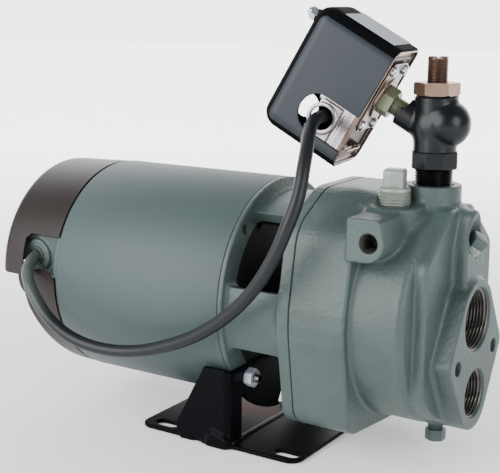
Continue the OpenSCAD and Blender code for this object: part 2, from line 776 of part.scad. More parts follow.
module motor_cord() color("#2b303a") {
    line = cord_points;
    n = len(line);
    rings = [for (i = [0 : n - 1])
        let (t = unit(line[min(i + 1, n - 1)] - line[max(i - 1, 0)]),
             side = unit(cross(t, [0.3, 1, 0.1])),
             up = cross(side, t))
        for (k = [0 : cord_sides - 1])
            let (q = 360 * k / cord_sides) line[i] + cord_d / 2 * (cos(q) * side + sin(q) * up)];
    faces = [
        [for (k = [0 : cord_sides - 1]) k],
        [for (k = [cord_sides - 1 : -1 : 0]) (n - 1) * cord_sides + k],
        for (i = [0 : n - 2], k = [0 : cord_sides - 1])
            let (a = i * cord_sides + k, b = i * cord_sides + (k + 1) % cord_sides)
            [a, a + cord_sides, b + cord_sides, b]];
    polyhedron(rings, faces, convexity = 6);
}

motor_shell();
stator_core();
stator_windings();
rotor_core();
rotor_cage();
shaft();
front_bearing();
rear_bearing();
wave_washer();
rear_end_bell();
motor_bracket();
rear_canopy();
canopy_screws();
through_bolts();
through_bolt_nuts();
governor_hub();
governor_spool();
start_switch();
capacitor();
capacitor_strap();
overload_protector();
motor_strain_relief();
slinger();
base_foot();
pump_casing();
body_gasket();
casing_bolts();
impeller();
diffuser();
diffuser_oring();
seal_cup();
seal_seat();
seal_head();
seal_spring();
vent_plug();
front_plug();
drain_plug();
regulator_body();
regulator_piston();
regulator_seal();
regulator_spring();
regulator_cap();
regulator_screw();
regulator_locknut();
switch_nipple();
switch_flange();
switch_flange_screws();
switch_diaphragm();
switch_base();
switch_lever();
lever_pin();
range_spring();
range_nut();
contact_block();
contact_arm();
switch_cover();
switch_cover_nut();
cable_clamp();
clamp_screws();
motor_cord();
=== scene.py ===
import math

import bmesh
import bpy
import numpy as np
from mathutils import Matrix, Vector

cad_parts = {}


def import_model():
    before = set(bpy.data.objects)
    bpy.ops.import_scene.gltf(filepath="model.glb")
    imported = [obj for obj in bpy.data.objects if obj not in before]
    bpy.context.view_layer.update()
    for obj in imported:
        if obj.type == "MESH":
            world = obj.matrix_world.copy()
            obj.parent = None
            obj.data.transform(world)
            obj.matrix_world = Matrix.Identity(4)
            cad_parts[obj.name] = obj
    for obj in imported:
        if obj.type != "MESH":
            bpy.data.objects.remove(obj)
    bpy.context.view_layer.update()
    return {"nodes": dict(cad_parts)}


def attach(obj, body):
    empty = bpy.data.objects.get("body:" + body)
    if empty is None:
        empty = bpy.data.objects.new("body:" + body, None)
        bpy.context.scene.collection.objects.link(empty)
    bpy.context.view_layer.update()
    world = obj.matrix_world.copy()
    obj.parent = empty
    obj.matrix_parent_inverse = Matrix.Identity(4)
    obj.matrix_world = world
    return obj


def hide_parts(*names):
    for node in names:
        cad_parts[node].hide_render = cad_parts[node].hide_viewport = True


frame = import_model()
NODES = frame["nodes"]

# ---------------------------------------------------------------- driving sizes, in mm
SHAFT_H = 100                               # shaft over the floor
BOLT_CIRCLE = 74.6                          # radius of the motor's through bolts
FLANGE_X, SLAB_X, FACE_X = 59, 145, 159     # casing: rear face, raised slab, port face
DRIVE_Z = 48                                # drive port
FACE_BOLT_Y, FACE_BOLT_Z = 31.6, 74         # blind holes of the port face
CASING_BOLTS = [(60, 148), (-60, 148), (58, 40), (-58, 40)]
OUTLET_X = 123                              # regulator valve
BRANCH_AT = (OUTLET_X, 0, 223)              # where its branch to the switch starts
VENT_AT = (107.5, -27)                      # vent plug, in x and y
GAUGE_AT = (113.4, 0, 159.8)                # blind gauge port, on the near side
DRAIN_X = 132
VENT_CIRCLE = 44                            # air vents of the rear bell
CONDUIT_X, CONDUIT_Z = -171, 115            # where the cord leaves the motor
CANOPY_SCREW_Y, CANOPY_SCREW_Z = 45, 145
FOOT_T = 3                                  # sheet of the foot
FOOT_X = 5                                  # where the foot's upright wall starts to bend
CORD_R = 4.5                                # of the cord's sheath

# ---------------------------------------------------------------- camera
LENS, SENSOR = 79.95, 36
CAMERA_AT = (0.4133, -0.6833, 0.3069)
yaw, pitch, roll = math.radians(32.485), math.radians(11.962), math.radians(0.3285)
back = Vector((math.sin(yaw) * math.cos(pitch), -math.cos(yaw) * math.cos(pitch), math.sin(pitch)))
right = Vector((math.cos(yaw), math.sin(yaw), 0))
up = back.cross(right)
r2 = math.cos(roll) * right + math.sin(roll) * up      # the same pair, rolled
u2 = -math.sin(roll) * right + math.cos(roll) * up
cam_data = bpy.data.cameras.new("camera")
cam_data.lens = LENS
cam_data.sensor_width = SENSOR
cam_data.clip_start = 0.01
cam = bpy.data.objects.new("camera", cam_data)
bpy.context.collection.objects.link(cam)
cam.matrix_world = Matrix([(r2[i], u2[i], back[i], CAMERA_AT[i]) for i in range(3)] + [(0, 0, 0, 1)])
bpy.context.scene.camera = cam


# ---------------------------------------------------------------- materials
def lin(c):
    """One channel, from a display value of 0 to 255 to linear light."""
    c = c / 255
    return c / 12.92 if c <= 0.04045 else ((c + 0.055) / 1.055) ** 2.4


def rgb(r, g, b):
    return (lin(r), lin(g), lin(b), 1)


def fill(node, values):
    """Sets a shader node's inputs by name."""
    for socket, value in values.items():
        node.inputs[socket].default_value = value


def mat(name, color, rough=0.5, metal=0.0, bump=0.0, scale=400.0, blotch=0.0, blotch_to=None,
        blotch_scale=25.0, spec=0.5):
    """Principled paint or metal, with fine bump and slow blotches of a second colour."""
    m = bpy.data.materials.new(name)
    m.use_nodes = True
    nt = m.node_tree
    b = nt.nodes["Principled BSDF"]
    fill(b, {"Base Color": rgb(*color), "Roughness": rough, "Metallic": metal, "Specular IOR Level": spec})
    coord = nt.nodes.new("ShaderNodeTexCoord")
    if blotch > 0:
        n = nt.nodes.new("ShaderNodeTexNoise")
        fill(n, {"Scale": blotch_scale, "Detail": 5, "Roughness": 0.6})
        nt.links.new(coord.outputs["Object"], n.inputs["Vector"])
        ramp = nt.nodes.new("ShaderNodeMapRange")
        fill(ramp, {"From Min": 0.35, "From Max": 0.7, "To Max": blotch})
        nt.links.new(n.outputs["Fac"], ramp.inputs["Value"])
        mix = nt.nodes.new("ShaderNodeMix")
        mix.data_type = "RGBA"
        fill(mix, {"A": rgb(*color), "B": rgb(*blotch_to)})
        nt.links.new(ramp.outputs["Result"], mix.inputs["Factor"])
        nt.links.new(mix.outputs["Result"], b.inputs["Base Color"])
    if bump > 0:
        n = nt.nodes.new("ShaderNodeTexNoise")
        fill(n, {"Scale": scale, "Detail": 4})
        nt.links.new(coord.outputs["Object"], n.inputs["Vector"])
        bp = nt.nodes.new("ShaderNodeBump")
        fill(bp, {"Strength": bump, "Distance": 0.001})
        nt.links.new(n.outputs["Fac"], bp.inputs["Height"])
        nt.links.new(bp.outputs["Normal"], b.inputs["Normal"])
    return m


M = {
    "cast": mat("cast paint", (68, 83, 81), 0.42, bump=0.5, scale=330, blotch=0.6, blotch_to=(52, 64, 62),
                blotch_scale=30, spec=0.4),
    "shell": mat("shell paint", (66, 79, 80), 0.5, bump=0.04, scale=120, blotch=0.35,
                 blotch_to=(60, 71, 70), blotch_scale=9, spec=0.35),
    # painted shade: near-black that stands for the shadow inside the bracket's arms and behind its windows
    "painted_shade": mat("painted shade black", (5, 6, 7), 0.6, bump=0.2, spec=0.2),
    "canopy": mat("canopy paint", (29, 18, 16), 0.42, bump=0.05, blotch=0.4, blotch_to=(22, 17, 16),
                  blotch_scale=12, spec=0.35),
    "foot": mat("foot paint", (3, 4, 7), 0.42, bump=0.08, spec=0.06),
    # painted light: the primer's brown is made lighter to stand for light on the shaded plate and far side
    # sheet
    "foot_brown_painted_light": mat("foot primer with painted light", (96, 58, 45), 0.6, bump=0.1, spec=0.2),
    "steel": mat("steel", (120, 120, 119), 0.35, 1.0, bump=0.1),
    "bright": mat("zinc plate", (200, 205, 210), 0.2, 1.0, bump=0.05),
    "nut_zinc": mat("nut zinc", (222, 232, 246), 0.45, 0.55, spec=0.6),
    "white_zinc": mat("bright zinc", (160, 152, 154), 0.24, 1.0, bump=0.03),
    "winding": mat("winding", (120, 60, 30), 0.35, bump=0.3, scale=900),
    "alu": mat("aluminium", (190, 190, 192), 0.45, 1.0, bump=0.2),
    "phenolic": mat("phenolic", (48, 36, 30), 0.5),
    "plastic": mat("black plastic", (20, 21, 23), 0.42),
    "bushing": mat("bushing", (44, 52, 50), 0.55, bump=0.1),
    "rubber": mat("rubber", (12, 14, 13), 0.75, spec=0.2),
    "gasket": mat("gasket", (36, 45, 42), 0.7, spec=0.2),
    "ceramic": mat("ceramic", (225, 222, 212), 0.2),
    "carbon": mat("carbon", (36, 36, 38), 0.4),
    "galv": mat("galvanised iron", (148, 156, 148), 0.4, 0.3, bump=0.25, scale=500, blotch=0.5,
                blotch_to=(120, 127, 118), blotch_scale=90),
    "valve": mat("valve paint", (6, 9, 12), 0.3, bump=0.12, scale=200, blotch=0.6, blotch_to=(16, 23, 28),
                 blotch_scale=45, spec=0.3),
    "valve_black": mat("valve thread", (3, 3, 4), 0.4, spec=0.3),
    "brass": mat("brass", (196, 160, 92), 0.3, 1.0),
    "bronze": mat("bronze screw", (92, 72, 62), 0.36, 0.9, bump=0.05),
    "bronze_nut": mat("bronze nut", (176, 148, 128), 0.3, 0.9, bump=0.06, blotch=0.5,
                      blotch_to=(106, 80, 68), blotch_scale=70),
    "nipple": mat("nipple", (118, 122, 100), 0.32, 0.5),
    "switch_steel": mat("switch steel", (140, 122, 112), 0.26, 0.9, bump=0.05, blotch=0.5,
                        blotch_to=(92, 78, 72), blotch_scale=60),
    "tray_brown": mat("tray floor", (74, 60, 54), 0.4, 0.6, bump=0.05),
    "cover": mat("cover paint", (24, 33, 41), 0.42, bump=0.05, scale=200, blotch=0.35,
                 blotch_to=(36, 43, 49), blotch_scale=18, spec=0.35),
    # painted shade: the cover's paint made near-black and matte where its edges and ends turn from the
    # light
    "cover_edge_shade": mat("cover edge painted shade", (5, 6, 8), 0.8, bump=0.04, spec=0.06),
    "label": mat("label", (150, 154, 160), 0.6, spec=0.2),
    "cord": mat("cord sheath", (14, 18, 23), 0.42, bump=0.05, spec=0.35),
    "thread": mat("machined thread", (92, 90, 86), 0.35, 0.7),
    "iron": mat("bare iron", (52, 48, 44), 0.5, 0.6, bump=0.2),
}


# ---------------------------------------------------------------- mesh helpers (mm in, m out)
def obj(name, verts, faces, material, body="frame", replaces=(), slot=None, normals=None, index=None,
        sharp=None):
    """Mesh object on a body. Its shading takes the given normals, or splits at edges past sharp degrees."""
    name = name.replace(" ", "_")
    me = bpy.data.meshes.new(name)
    v = np.asarray(verts, float) / 1000
    me.from_pydata(v.tolist(), [], [list(map(int, f)) for f in faces])
    mats = material if isinstance(material, (list, tuple)) else [material]
    for m in mats:
        me.materials.append(M[m])
    me.polygons.foreach_set("use_smooth", np.ones(len(me.polygons), bool))
    if index is not None:
        me.polygons.foreach_set("material_index", np.asarray(index, np.int32))
    me.update()
    if normals is not None:
        me.normals_split_custom_set_from_vertices(np.asarray(normals).tolist())
    elif sharp is not None:
        me.set_sharp_from_angle(angle=math.radians(sharp))
    o = bpy.data.objects.new(name, me)
    bpy.context.collection.objects.link(o)
    place(o, body, replaces)
    return o


def place(o, body, replaces=()):
    """Puts a piece on its body and hides the CAD nodes it replaces."""
    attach(o, body)
    if isinstance(replaces, str):
        replaces = (replaces,)
    if replaces:
        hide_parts(*replaces)


def frame_of(origin, axis, hint=(0, 0, 1)):
    """Origin and three unit vectors: u, v across the axis, and w along it."""
    w = np.array(axis, float)
    w /= np.linalg.norm(w)
    h = np.array(hint, float)
    if abs(w @ h) > 0.95:
        h = np.array((1.0, 0, 0))
    u = np.cross(h, w)
    u /= np.linalg.norm(u)
    return np.array(origin, float), u, np.cross(w, u), w


def outward(verts, faces):
    """Faces turned so that they look out of the closed mesh."""
    bm = bmesh.new()
    vs = [bm.verts.new(p) for p in verts]
    for f in faces:
        if len(set(f)) > 2:
            bm.faces.new([vs[i] for i in dict.fromkeys(f)])
    bmesh.ops.recalc_face_normals(bm, faces=bm.faces)
    bm.verts.index_update()
    out = [[v.index for v in f.verts] for f in bm.faces]
    bm.free()
    return out


def rings(fr, rows, cap=True):
    """Vertices and faces of a skin over rings, each given as radii and height. With cap off the last
    ring joins the first one."""
    o, u, v, w = fr
    n = max(len(r) if np.ndim(r) else 0 for r, h in rows) or 96
    a = np.arange(n) * 2 * math.pi / n
    verts, faces = [], []
    for r, h in rows:
        r = np.broadcast_to(np.asarray(r, float), (n,))
        h = np.broadcast_to(np.asarray(h, float), (n,))
        verts.append(o + np.outer(r * np.cos(a), u) + np.outer(r * np.sin(a), v) + np.outer(h, w))
    V = np.concatenate(verts)
    k = len(rows)
    for i in range(k - 1 if cap else k):
        j = (i + 1) % k
        for s in range(n):
            t = (s + 1) % n
            faces.append((i * n + s, i * n + t, j * n + t, j * n + s))
    if cap:
        faces.append(tuple(range(n))[::-1])
        faces.append(tuple((k - 1) * n + s for s in range(n)))
    return V, faces


def lathe(name, fr, profile, material, sharp=35, cap=True, seg=128, **k):
    """Body of revolution; profile is [(r, h), ...]. With cap off, the profile is a closed ring section."""
    V, F = rings(fr, [(np.full(seg, max(r, 0.02)), h) for r, h in profile], cap=cap)
    return obj(name, V, outward(V, F), material, sharp=sharp, **k)


def tri(x):
    """One tooth of a thread's profile per unit, from 0 at its root to 1 at its crest."""
    x = x - np.floor(x)
    return np.clip(np.minimum(x, 1 - x) * 2.6 - 0.15, 0, 1)


def thread(name, fr, r_in, r_out, h0, h1, pitch, material, inside=False, back_r=None, taper=0.0, seg=96,
           **k):
    """A screw thread between two radii. inside=True makes the sleeve of a tapped hole."""
    n = max(3, int((h1 - h0) / pitch * 8))
    a = np.arange(seg) / seg
    rows = []
    for i in range(n + 1):
        h = h0 + (h1 - h0) * i / n
        edge = min(1.0, (h - h0) / pitch * 1.5, (h1 - h) / pitch * 1.5)
        d = r_out - r_in
        tt = tri(h / pitch - a)
        if inside:
            r = r_out - d * tt * edge + taper * (h - h0)
        else:
            r = r_in + d * tt * edge - taper * (h - h0)
        rows.append((r, h))
    if inside:
        rows.append((np.full(seg, back_r), h1))
        rows.append((np.full(seg, back_r), h0))
        V, F = rings(fr, rows, cap=False)
    else:
        V, F = rings(fr, rows)
    return obj(name, V, outward(V, F), material, sharp=40, **k)


def hexr(af, n=96, turn=0.0):
    """Radii of a hexagon round its centre; af is its size across the flats."""
    a = np.arange(n) * 2 * math.pi / n + turn
    m = (a + math.pi / 6) % (math.pi / 3) - math.pi / 6
    return af / 2 / np.cos(m)


def hexagon(name, fr, af, h0, h1, material, turn=0.0, bore=0.0, **k):
    """Hexagon with the usual 30 degree chamfers; bore > 0 makes it a nut."""
    r = hexr(af, turn=turn)
    rc = af / 2 * 1.06
    drop = np.clip(r - rc, 0, None) * 0.6
    rows = [(np.minimum(r, rc), h0), (r, h0 + drop), (r, h1 - drop), (np.minimum(r, rc), h1)]
    if bore:
        c = np.full(len(r), bore)
        rows += [(c + 0.6, h1), (c, h1 - 0.6), (c, h0 + 0.6), (c + 0.6, h0)]
        V, F = rings(fr, rows, cap=False)
    else:
        V, F = rings(fr, rows)
    return obj(name, V, outward(V, F), material, sharp=25, **k)


def turned(fr, degrees):
    """A frame turned about its own w."""
    o, u, v, w = fr
    q = math.radians(degrees)
    return o, math.cos(q) * u + math.sin(q) * v, -math.sin(q) * u + math.cos(q) * v, w


def block(name, fr, lo, hi, r, material, seg=3, **k):
    """Box with rounded edges in the local frame."""
    o, u, v, w = fr
    bm = bmesh.new()
    bmesh.ops.create_cube(bm, size=1)
    lo, hi = np.array(lo, float), np.array(hi, float)
    for q in bm.verts:
        q.co = Vector((lo + hi) / 2 + np.array(q.co) * (hi - lo))
    if r > 0:
        bmesh.ops.bevel(bm, geom=bm.edges[:], offset=r, segments=seg, profile=0.5, affect="EDGES")
    V = np.array([q.co[:] for q in bm.verts])
    bm.verts.index_update()
    F = [[q.index for q in f.verts] for f in bm.faces]
    bm.free()
    V = o + V[:, :1] * u + V[:, 1:2] * v + V[:, 2:] * w
    return obj(name, V, F, material, sharp=30, **k)


# ---------------------------------------------------------------- soft solids from distance fields
class Field:
    """A grid of points. Shapes are signed distances on it, in mm, negative inside."""

    def __init__(self, lo, hi, step, fr=None):
        self.lo, self.step = np.array(lo, float), step
        n = [int(math.ceil((hi[i] - lo[i]) / step)) + 1 for i in range(3)]
        ax = [(lo[i] + step * np.arange(n[i])).astype(np.float32) for i in range(3)]
        self.x, self.y, self.z = ax[0][:, None, None], ax[1][None, :, None], ax[2][None, None, :]
        self.n, self.fr = n, fr
        self.zero = np.zeros(n, np.float32)

    def hull(self, circles, plane="yz"):
        """Distance in a plane to the hull of circles, each given as its centre and radius."""
        a, b = {"yz": (self.y, self.z), "xz": (self.x, self.z), "xy": (self.x, self.y)}[plane]
        t = np.linspace(0, 2 * math.pi, 48, endpoint=False)
        P = np.concatenate([np.c_[c[0] + c[2] * np.cos(t), c[1] + c[2] * np.sin(t)] for c in circles])
        H = convex(P)
        d = None
        for i in range(len(H)):
            p, q = H[i], H[(i + 1) % len(H)]
            e = q - p
            ln = np.hypot(*e)
            if ln < 1e-6:
                continue
            nn = (e[1] / ln, -e[0] / ln)
            k = (a - p[0]) * nn[0] + (b - p[1]) * nn[1]
            d = k if d is None else np.maximum(d, k)
        return d.astype(np.float32)

    def prism(self, d2, s, s0, s1, r=1.0):
        """The outline d2 drawn out from s0 to s1 along s, with its edges rounded by r."""
        q1 = d2 + r
        q2 = np.abs(s - (s0 + s1) / 2) - (s1 - s0) / 2 + r
        corner = np.hypot(np.maximum(q1, 0), np.maximum(q2, 0))
        return np.minimum(np.maximum(q1, q2), 0) + corner - r + self.zero

    def rod(self, p, w, R, h0, h1, r=1.0):
        """Round rod of radius R on the line through p along w, from h0 to h1."""
        w = np.array(w, float)
        w /= np.linalg.norm(w)
        X, Y, Z = self.x - p[0], self.y - p[1], self.z - p[2]
        t = X * w[0] + Y * w[1] + Z * w[2]
        rad = np.sqrt(np.maximum(X * X + Y * Y + Z * Z - t * t, 0))
        return self.prism(rad - R, t, h0, h1, r)

    def on_shaft(self, R, x0, x1, r=0.2, y=0, z=SHAFT_H):
        """Rod parallel to the shaft, and on it unless y and z say otherwise."""
        return self.rod((0, y, z), (1, 0, 0), R, x0, x1, r)

    def upright(self, x, y, R, z0, z1, r=0.2):
        """Rod along z."""
        return self.rod((x, y, 0), (0, 0, 1), R, z0, z1, r)

    def across(self, x, z, R, y0, y1, r=0.2):
        """Rod along y."""
        return self.rod((x, 0, z), (0, 1, 0), R, y0, y1, r)

    def ball(self, p, R):
        return np.sqrt((self.x - p[0]) ** 2 + (self.y - p[1]) ** 2 + (self.z - p[2]) ** 2) - R

    def box(self, lo, hi, r=1.0):
        """Box between two corners, with its edges rounded by r."""
        q = [np.abs(s - (lo[i] + hi[i]) / 2) - (hi[i] - lo[i]) / 2 + r
             for i, s in enumerate((self.x, self.y, self.z))]
        out = np.sqrt(np.maximum(q[0], 0) ** 2 + np.maximum(q[1], 0) ** 2 + np.maximum(q[2], 0) ** 2)
        return out + np.minimum(np.maximum(np.maximum(q[0], q[1]), q[2]), 0) - r + self.zero

    def mesh(self, F):
        """Surface net of the field, pulled onto the true surface, with the field's own normals."""
        n = self.n
        cells = (n[0] - 1, n[1] - 1, n[2] - 1)
        ids, pos, quads = [], [], []
        for ax in range(3):
            a = [slice(None)] * 3
            b = [slice(None)] * 3
            a[ax], b[ax] = slice(0, -1), slice(1, None)
            A, B = F[tuple(a)], F[tuple(b)]
            i = np.argwhere((A < 0) != (B < 0))
            u, v = (ax + 1) % 3, (ax + 2) % 3
            i = i[(i[:, u] > 0) & (i[:, v] > 0) & (i[:, u] < n[u] - 1) & (i[:, v] < n[v] - 1)]
            fa = A[tuple(i.T)]
            t = fa / (fa - B[tuple(i.T)])
            p = i.astype(float)
            p[:, ax] += t
            q = []
            for du, dv in ((0, 0), (1, 0), (1, 1), (0, 1)):
                c = i.copy()
                c[:, u] -= du
                c[:, v] -= dv
                k = (c[:, 0] * cells[1] + c[:, 1]) * cells[2] + c[:, 2]
                q.append(k)
                ids.append(k)
                pos.append(p)
            q = np.stack(q, 1)
            quads.append(np.where((fa < 0)[:, None], q, q[:, ::-1]))
        ids, pos, quads = np.concatenate(ids), np.concatenate(pos), np.concatenate(quads)
        used, inv = np.unique(ids, return_inverse=True)
        cnt = np.bincount(inv)
        P = np.stack([np.bincount(inv, pos[:, j]) / cnt for j in range(3)], 1)
        quads = np.searchsorted(used, quads)
        base = P.copy()
        for _ in range(3):
            f, g = self.sample(F, P)
            g2 = np.maximum((g * g).sum(1), 0.05)
            P -= np.clip(f / g2, -0.6, 0.6)[:, None] * g
            P = base + np.clip(P - base, -0.9, 0.9)
        f, g = self.sample(F, P)
        g /= np.maximum(np.linalg.norm(g, axis=1), 1e-6)[:, None]
        V = self.lo + P * self.step
        if self.fr is not None:
            o, u, v, w = self.fr
            V = o + V[:, :1] * u + V[:, 1:2] * v + V[:, 2:] * w
            g = g[:, :1] * u + g[:, 1:2] * v + g[:, 2:] * w
        return V, quads, g

    def sample(self, F, P):
        """Field value and gradient (per cell) at points given in cell units."""
        n = np.array(self.n)
        Q = np.clip(P, 0, n - 1.001)
        i = Q.astype(int)
        t = Q - i
        c = {}
        for a in (0, 1):
            for b in (0, 1):
                for d in (0, 1):
                    c[a, b, d] = F[i[:, 0] + a, i[:, 1] + b, i[:, 2] + d].astype(float)
        x, y, z = t.T
        X = {(b, d): c[0, b, d] * (1 - x) + c[1, b, d] * x for b in (0, 1) for d in (0, 1)}
        f = (X[0, 0] * (1 - y) + X[1, 0] * y) * (1 - z) + (X[0, 1] * (1 - y) + X[1, 1] * y) * z
        gx = ((c[1, 0, 0] - c[0, 0, 0]) * (1 - y) + (c[1, 1, 0] - c[0, 1, 0]) * y) * (1 - z) + \
            ((c[1, 0, 1] - c[0, 0, 1]) * (1 - y) + (c[1, 1, 1] - c[0, 1, 1]) * y) * z
        gy = (X[1, 0] - X[0, 0]) * (1 - z) + (X[1, 1] - X[0, 1]) * z
        gz = (X[0, 1] * (1 - y) + X[1, 1] * y) - (X[0, 0] * (1 - y) + X[1, 0] * y)
        return f, np.stack([gx, gy, gz], 1)


def convex(P):
    """Convex hull of points in the plane, anticlockwise."""
    P = P[np.lexsort((P[:, 1], P[:, 0]))]
    out = []
    for pts in (P, P[::-1]):
        h = []
        for p in pts:
            while len(h) > 1 and (h[-1][0] - h[-2][0]) * (p[1] - h[-2][1]) - \
                    (h[-1][1] - h[-2][1]) * (p[0] - h[-2][0]) <= 1e-9:
                h.pop()
            h.append(p)
        out += h[:-1]
    return np.array(out)


def join(a, b, k=0.0):
    """Union, with a fillet of about k in the corner."""
    if k <= 0:
        return np.minimum(a, b)
    h = np.maximum(k - np.abs(a - b), 0) / k
    return np.minimum(a, b) - h * h * k / 4


def cut(a, b, k=0.0):
    """a without b, with a round of about k on the new edge."""
    return -join(-a, b, k)


def solid(name, field, F, material, **k):
    """Piece with the surface of a field; paint picks each face's material from its middle."""
    V, Q, N = field.mesh(F)
    index = k.pop("paint", None)
    if index is not None:
        index = index(V[Q].mean(1))
    return obj(name, V, Q, material, normals=N, index=index, **k)


def stands_for(node, first):
    """The first of several like zinc pieces replaces their CAD node."""
    return {"replaces": node, "slot": "zinc_plate"} if first else {}


def diagonal(radius):
    """Four points at 45 degrees on a circle round the shaft, as y and z from the shaft."""
    c = radius * math.sqrt(0.5)
    return [(y, z) for y in (-c, c) for z in (-c, c)]


X_AXIS = frame_of((0, 0, SHAFT_H), (1, 0, 0))
BOLTS = diagonal(BOLT_CIRCLE)
LOWER_BOLTS = [(y, z) for y, z in BOLTS if z < 0]

# ---------------------------------------------------------------- pump casing
step = 0.85
OUTLINE = [(-20, 145, 39.5), (20, 145, 39.5), (-46, 146, 26), (46, 146, 26), (0, 100, 80),
           (-55, 42, 17), (55, 42, 17)]
FACE = [(0, 100, 27.5), (37, 76, 8), (-37, 76, 8), (0, 48, 25)]
g = Field((56, -86, 12), (162, 86, 194), step)
outline = g.hull(OUTLINE)
F = join(g.prism(outline, g.x, FLANGE_X, 80, 0.4), g.prism(outline, g.x, FLANGE_X, 100, 2.0))
F = join(F, g.on_shaft(74, 90, 137, 5.0), 3.5)
slab = g.hull([(-43, 42, 14), (43, 42, 14), (-43, 138, 13), (43, 138, 13), (-14, 164, 11), (14, 164, 11)])
lower_edge = np.where(g.z < SHAFT_H, np.hypot(g.y, g.z - SHAFT_H) - 71.5, -99)
F = join(F, g.prism(np.maximum(slab, lower_edge).astype(np.float32), g.x, 120, SLAB_X, 2.5), 2.5)
F = join(F, g.prism(g.hull([(0, 130, 15.5), (0, 146, 15.5), (0, 165, 9)]), g.x, 120, 155, 2.5), 4)
F = join(F, g.prism(g.hull(FACE), g.x, 130, FACE_X, 0.8), 4)
F = join(F, g.upright(OUTLET_X, 0, 19, 120, 188.7, 1.0), 4)
side = g.prism(g.hull([(99.5, 148.5, 1.5), (99.5, 173.5, 1.5), (111, 160, 13), (118, 171, 4)], "xz"),
               g.y, -76, -20, 0.8)
F = join(F, side, 4.5)
F = join(F, g.upright(107, -28, 20.5, 150, 177, 0.9), 4.5)
F = join(F, g.upright(DRAIN_X, 0, 7.5, 22, 45, 1.0), 3)
# water passages
F = cut(F, cut(g.on_shaft(66, 40, 128, 3), g.on_shaft(27, 109, 140, 1)), 1.5)
F = cut(F, g.on_shaft(22, 100, 121.5))
F = cut(F, g.on_shaft(17, 110, 140))
F = cut(F, g.on_shaft(21.6, 133, 170), 1.6)
F = cut(F, g.on_shaft(17.0, 135, 170, z=DRIVE_Z), 1.6)
F = cut(F, g.on_shaft(12, 115, 140, z=DRIVE_Z))
for y in (-FACE_BOLT_Y, FACE_BOLT_Y):
    F = cut(F, g.on_shaft(4.9, 143, 170, y=y, z=FACE_BOLT_Z), 0.8)
F = cut(F, g.upright(OUTLET_X, 0, 13.2, 140, 200), 0.8)
F = cut(F, g.upright(*VENT_AT, 10.6, 140, 200), 0.8)
F = cut(F, g.rod(GAUGE_AT, (0, -1, 0), 6.3, 58, 90, 0.2), 1.0)
F = cut(F, g.upright(DRAIN_X, 0, 5.5, 10, 42), 0.5)
PLUG, PLUG_AT = (0.669, 0, 0.743), (150.5, 0, 147.3)
F = cut(F, g.rod(PLUG_AT, PLUG, 6.8, -12, 6, 0.2), 0.5)
F = cut(F, g.rod(PLUG_AT, PLUG, 11, 2.8, 33, 2), 2)
for y, z in CASING_BOLTS:
    F = cut(F, g.on_shaft(4.3, 50, 86, y=y, z=z))


def casing_paint(c):
    """Bare iron inside, paint outside."""
    x, r = c[:, 0], np.hypot(c[:, 1], c[:, 2] - SHAFT_H)
    inner = (x < 128.3) & (r < 66.6) & (x > FLANGE_X + 0.5)
    inner |= (r < 20) & (x < FACE_X - 1)
    inner |= (np.hypot(c[:, 1], c[:, 2] - DRIVE_Z) < 16.5) & (x < FACE_X - 1)
    return inner.astype(int)


solid("casing", g, F, ["cast", "iron"], paint=casing_paint, replaces="pump_casing", slot="green_paint")
thread("suction thread", X_AXIS, 19.6, 21.2, 134, 157.6, 2.2, "thread",
       inside=True, back_r=22.6, taper=0.012)
thread("drive thread", frame_of((0, 0, DRIVE_Z), (1, 0, 0)), 15.2, 16.7, 136, 157.6, 2.2, "thread",
       inside=True, back_r=18)
thread("gauge thread", frame_of(GAUGE_AT, (0, -1, 0)), 5.7, 6.4, 59, 75.4, 1.41, "iron",
       inside=True, back_r=7.2, seg=48)

# ---------------------------------------------------------------- front bracket
g = Field((-8, -87, 14), (61, 87, 188), step)
F = g.on_shaft(82.5, 4, 8, 1.0)
F = join(F, g.on_shaft(80.9, 0, 7, 0.3))
F = join(F, g.on_shaft(28, -6, 12, 1.5), 4)
F = join(F, g.prism(g.hull(OUTLINE), g.x, 50, FLANGE_X - 0.4, 0.5))
ang = np.degrees(np.arctan2(g.z - SHAFT_H, np.abs(g.y)))
rad = np.hypot(g.y, g.z - SHAFT_H)
for a0, a1, outer in ((-20, 13, 77.5), (58.5, 121.5, 74)):
    mid, half = math.radians((a0 + a1) / 2), math.radians((a1 - a0) / 2)
    beside = (np.abs(np.radians(ang) - mid) - half) * rad
    d2 = np.maximum(np.maximum(rad - outer, outer - 11 - rad), beside)
    F = join(F, g.prism(d2.astype(np.float32), g.x, 4, 54, 1.5), 5)
F = join(F, g.on_shaft(20, 42, 55, 1.5), 4)
F = cut(F, g.on_shaft(20, -10, 8.2))
F = cut(F, g.on_shaft(14, 0, 20))
F = cut(F, g.on_shaft(9.5, 30, 70))
F = cut(F, g.on_shaft(15, 48, 70))
for y, z in BOLTS:
    F = cut(F, g.on_shaft(3.4, -10, 20, y=y, z=SHAFT_H + z))
for y, z in CASING_BOLTS:
    F = cut(F, g.on_shaft(5, 45, 70, y=y, z=z))
F = cut(F, g.upright(4, 3, 1.5, 168, 200))


def bracket_painted_shade(c):
    """Black painted shade inside the arms and on the disc behind the windows, standing for the shadow in
    the bracket's hollow.
    """
    x, r = c[:, 0], np.hypot(c[:, 1], c[:, 2] - SHAFT_H)
    return ((r < 66.5) & (x > 2) & (x < 50.6)).astype(int)


solid("bracket", g, F, ["cast", "painted_shade"], paint=bracket_painted_shade, replaces="motor_bracket", slot="green_paint")

# ---------------------------------------------------------------- motor shell, rear bell, canopy
SHELL = [(80.9, -141), (81.9, -141), (82.4, -140.6), (82.5, -140), (82.5, 3.2), (82.2, 3.9), (81.8, 4),
         (80.9, 4)]
lathe("shell", X_AXIS, SHELL, "shell", cap=False, seg=256, replaces="motor_shell", slot="green_paint")

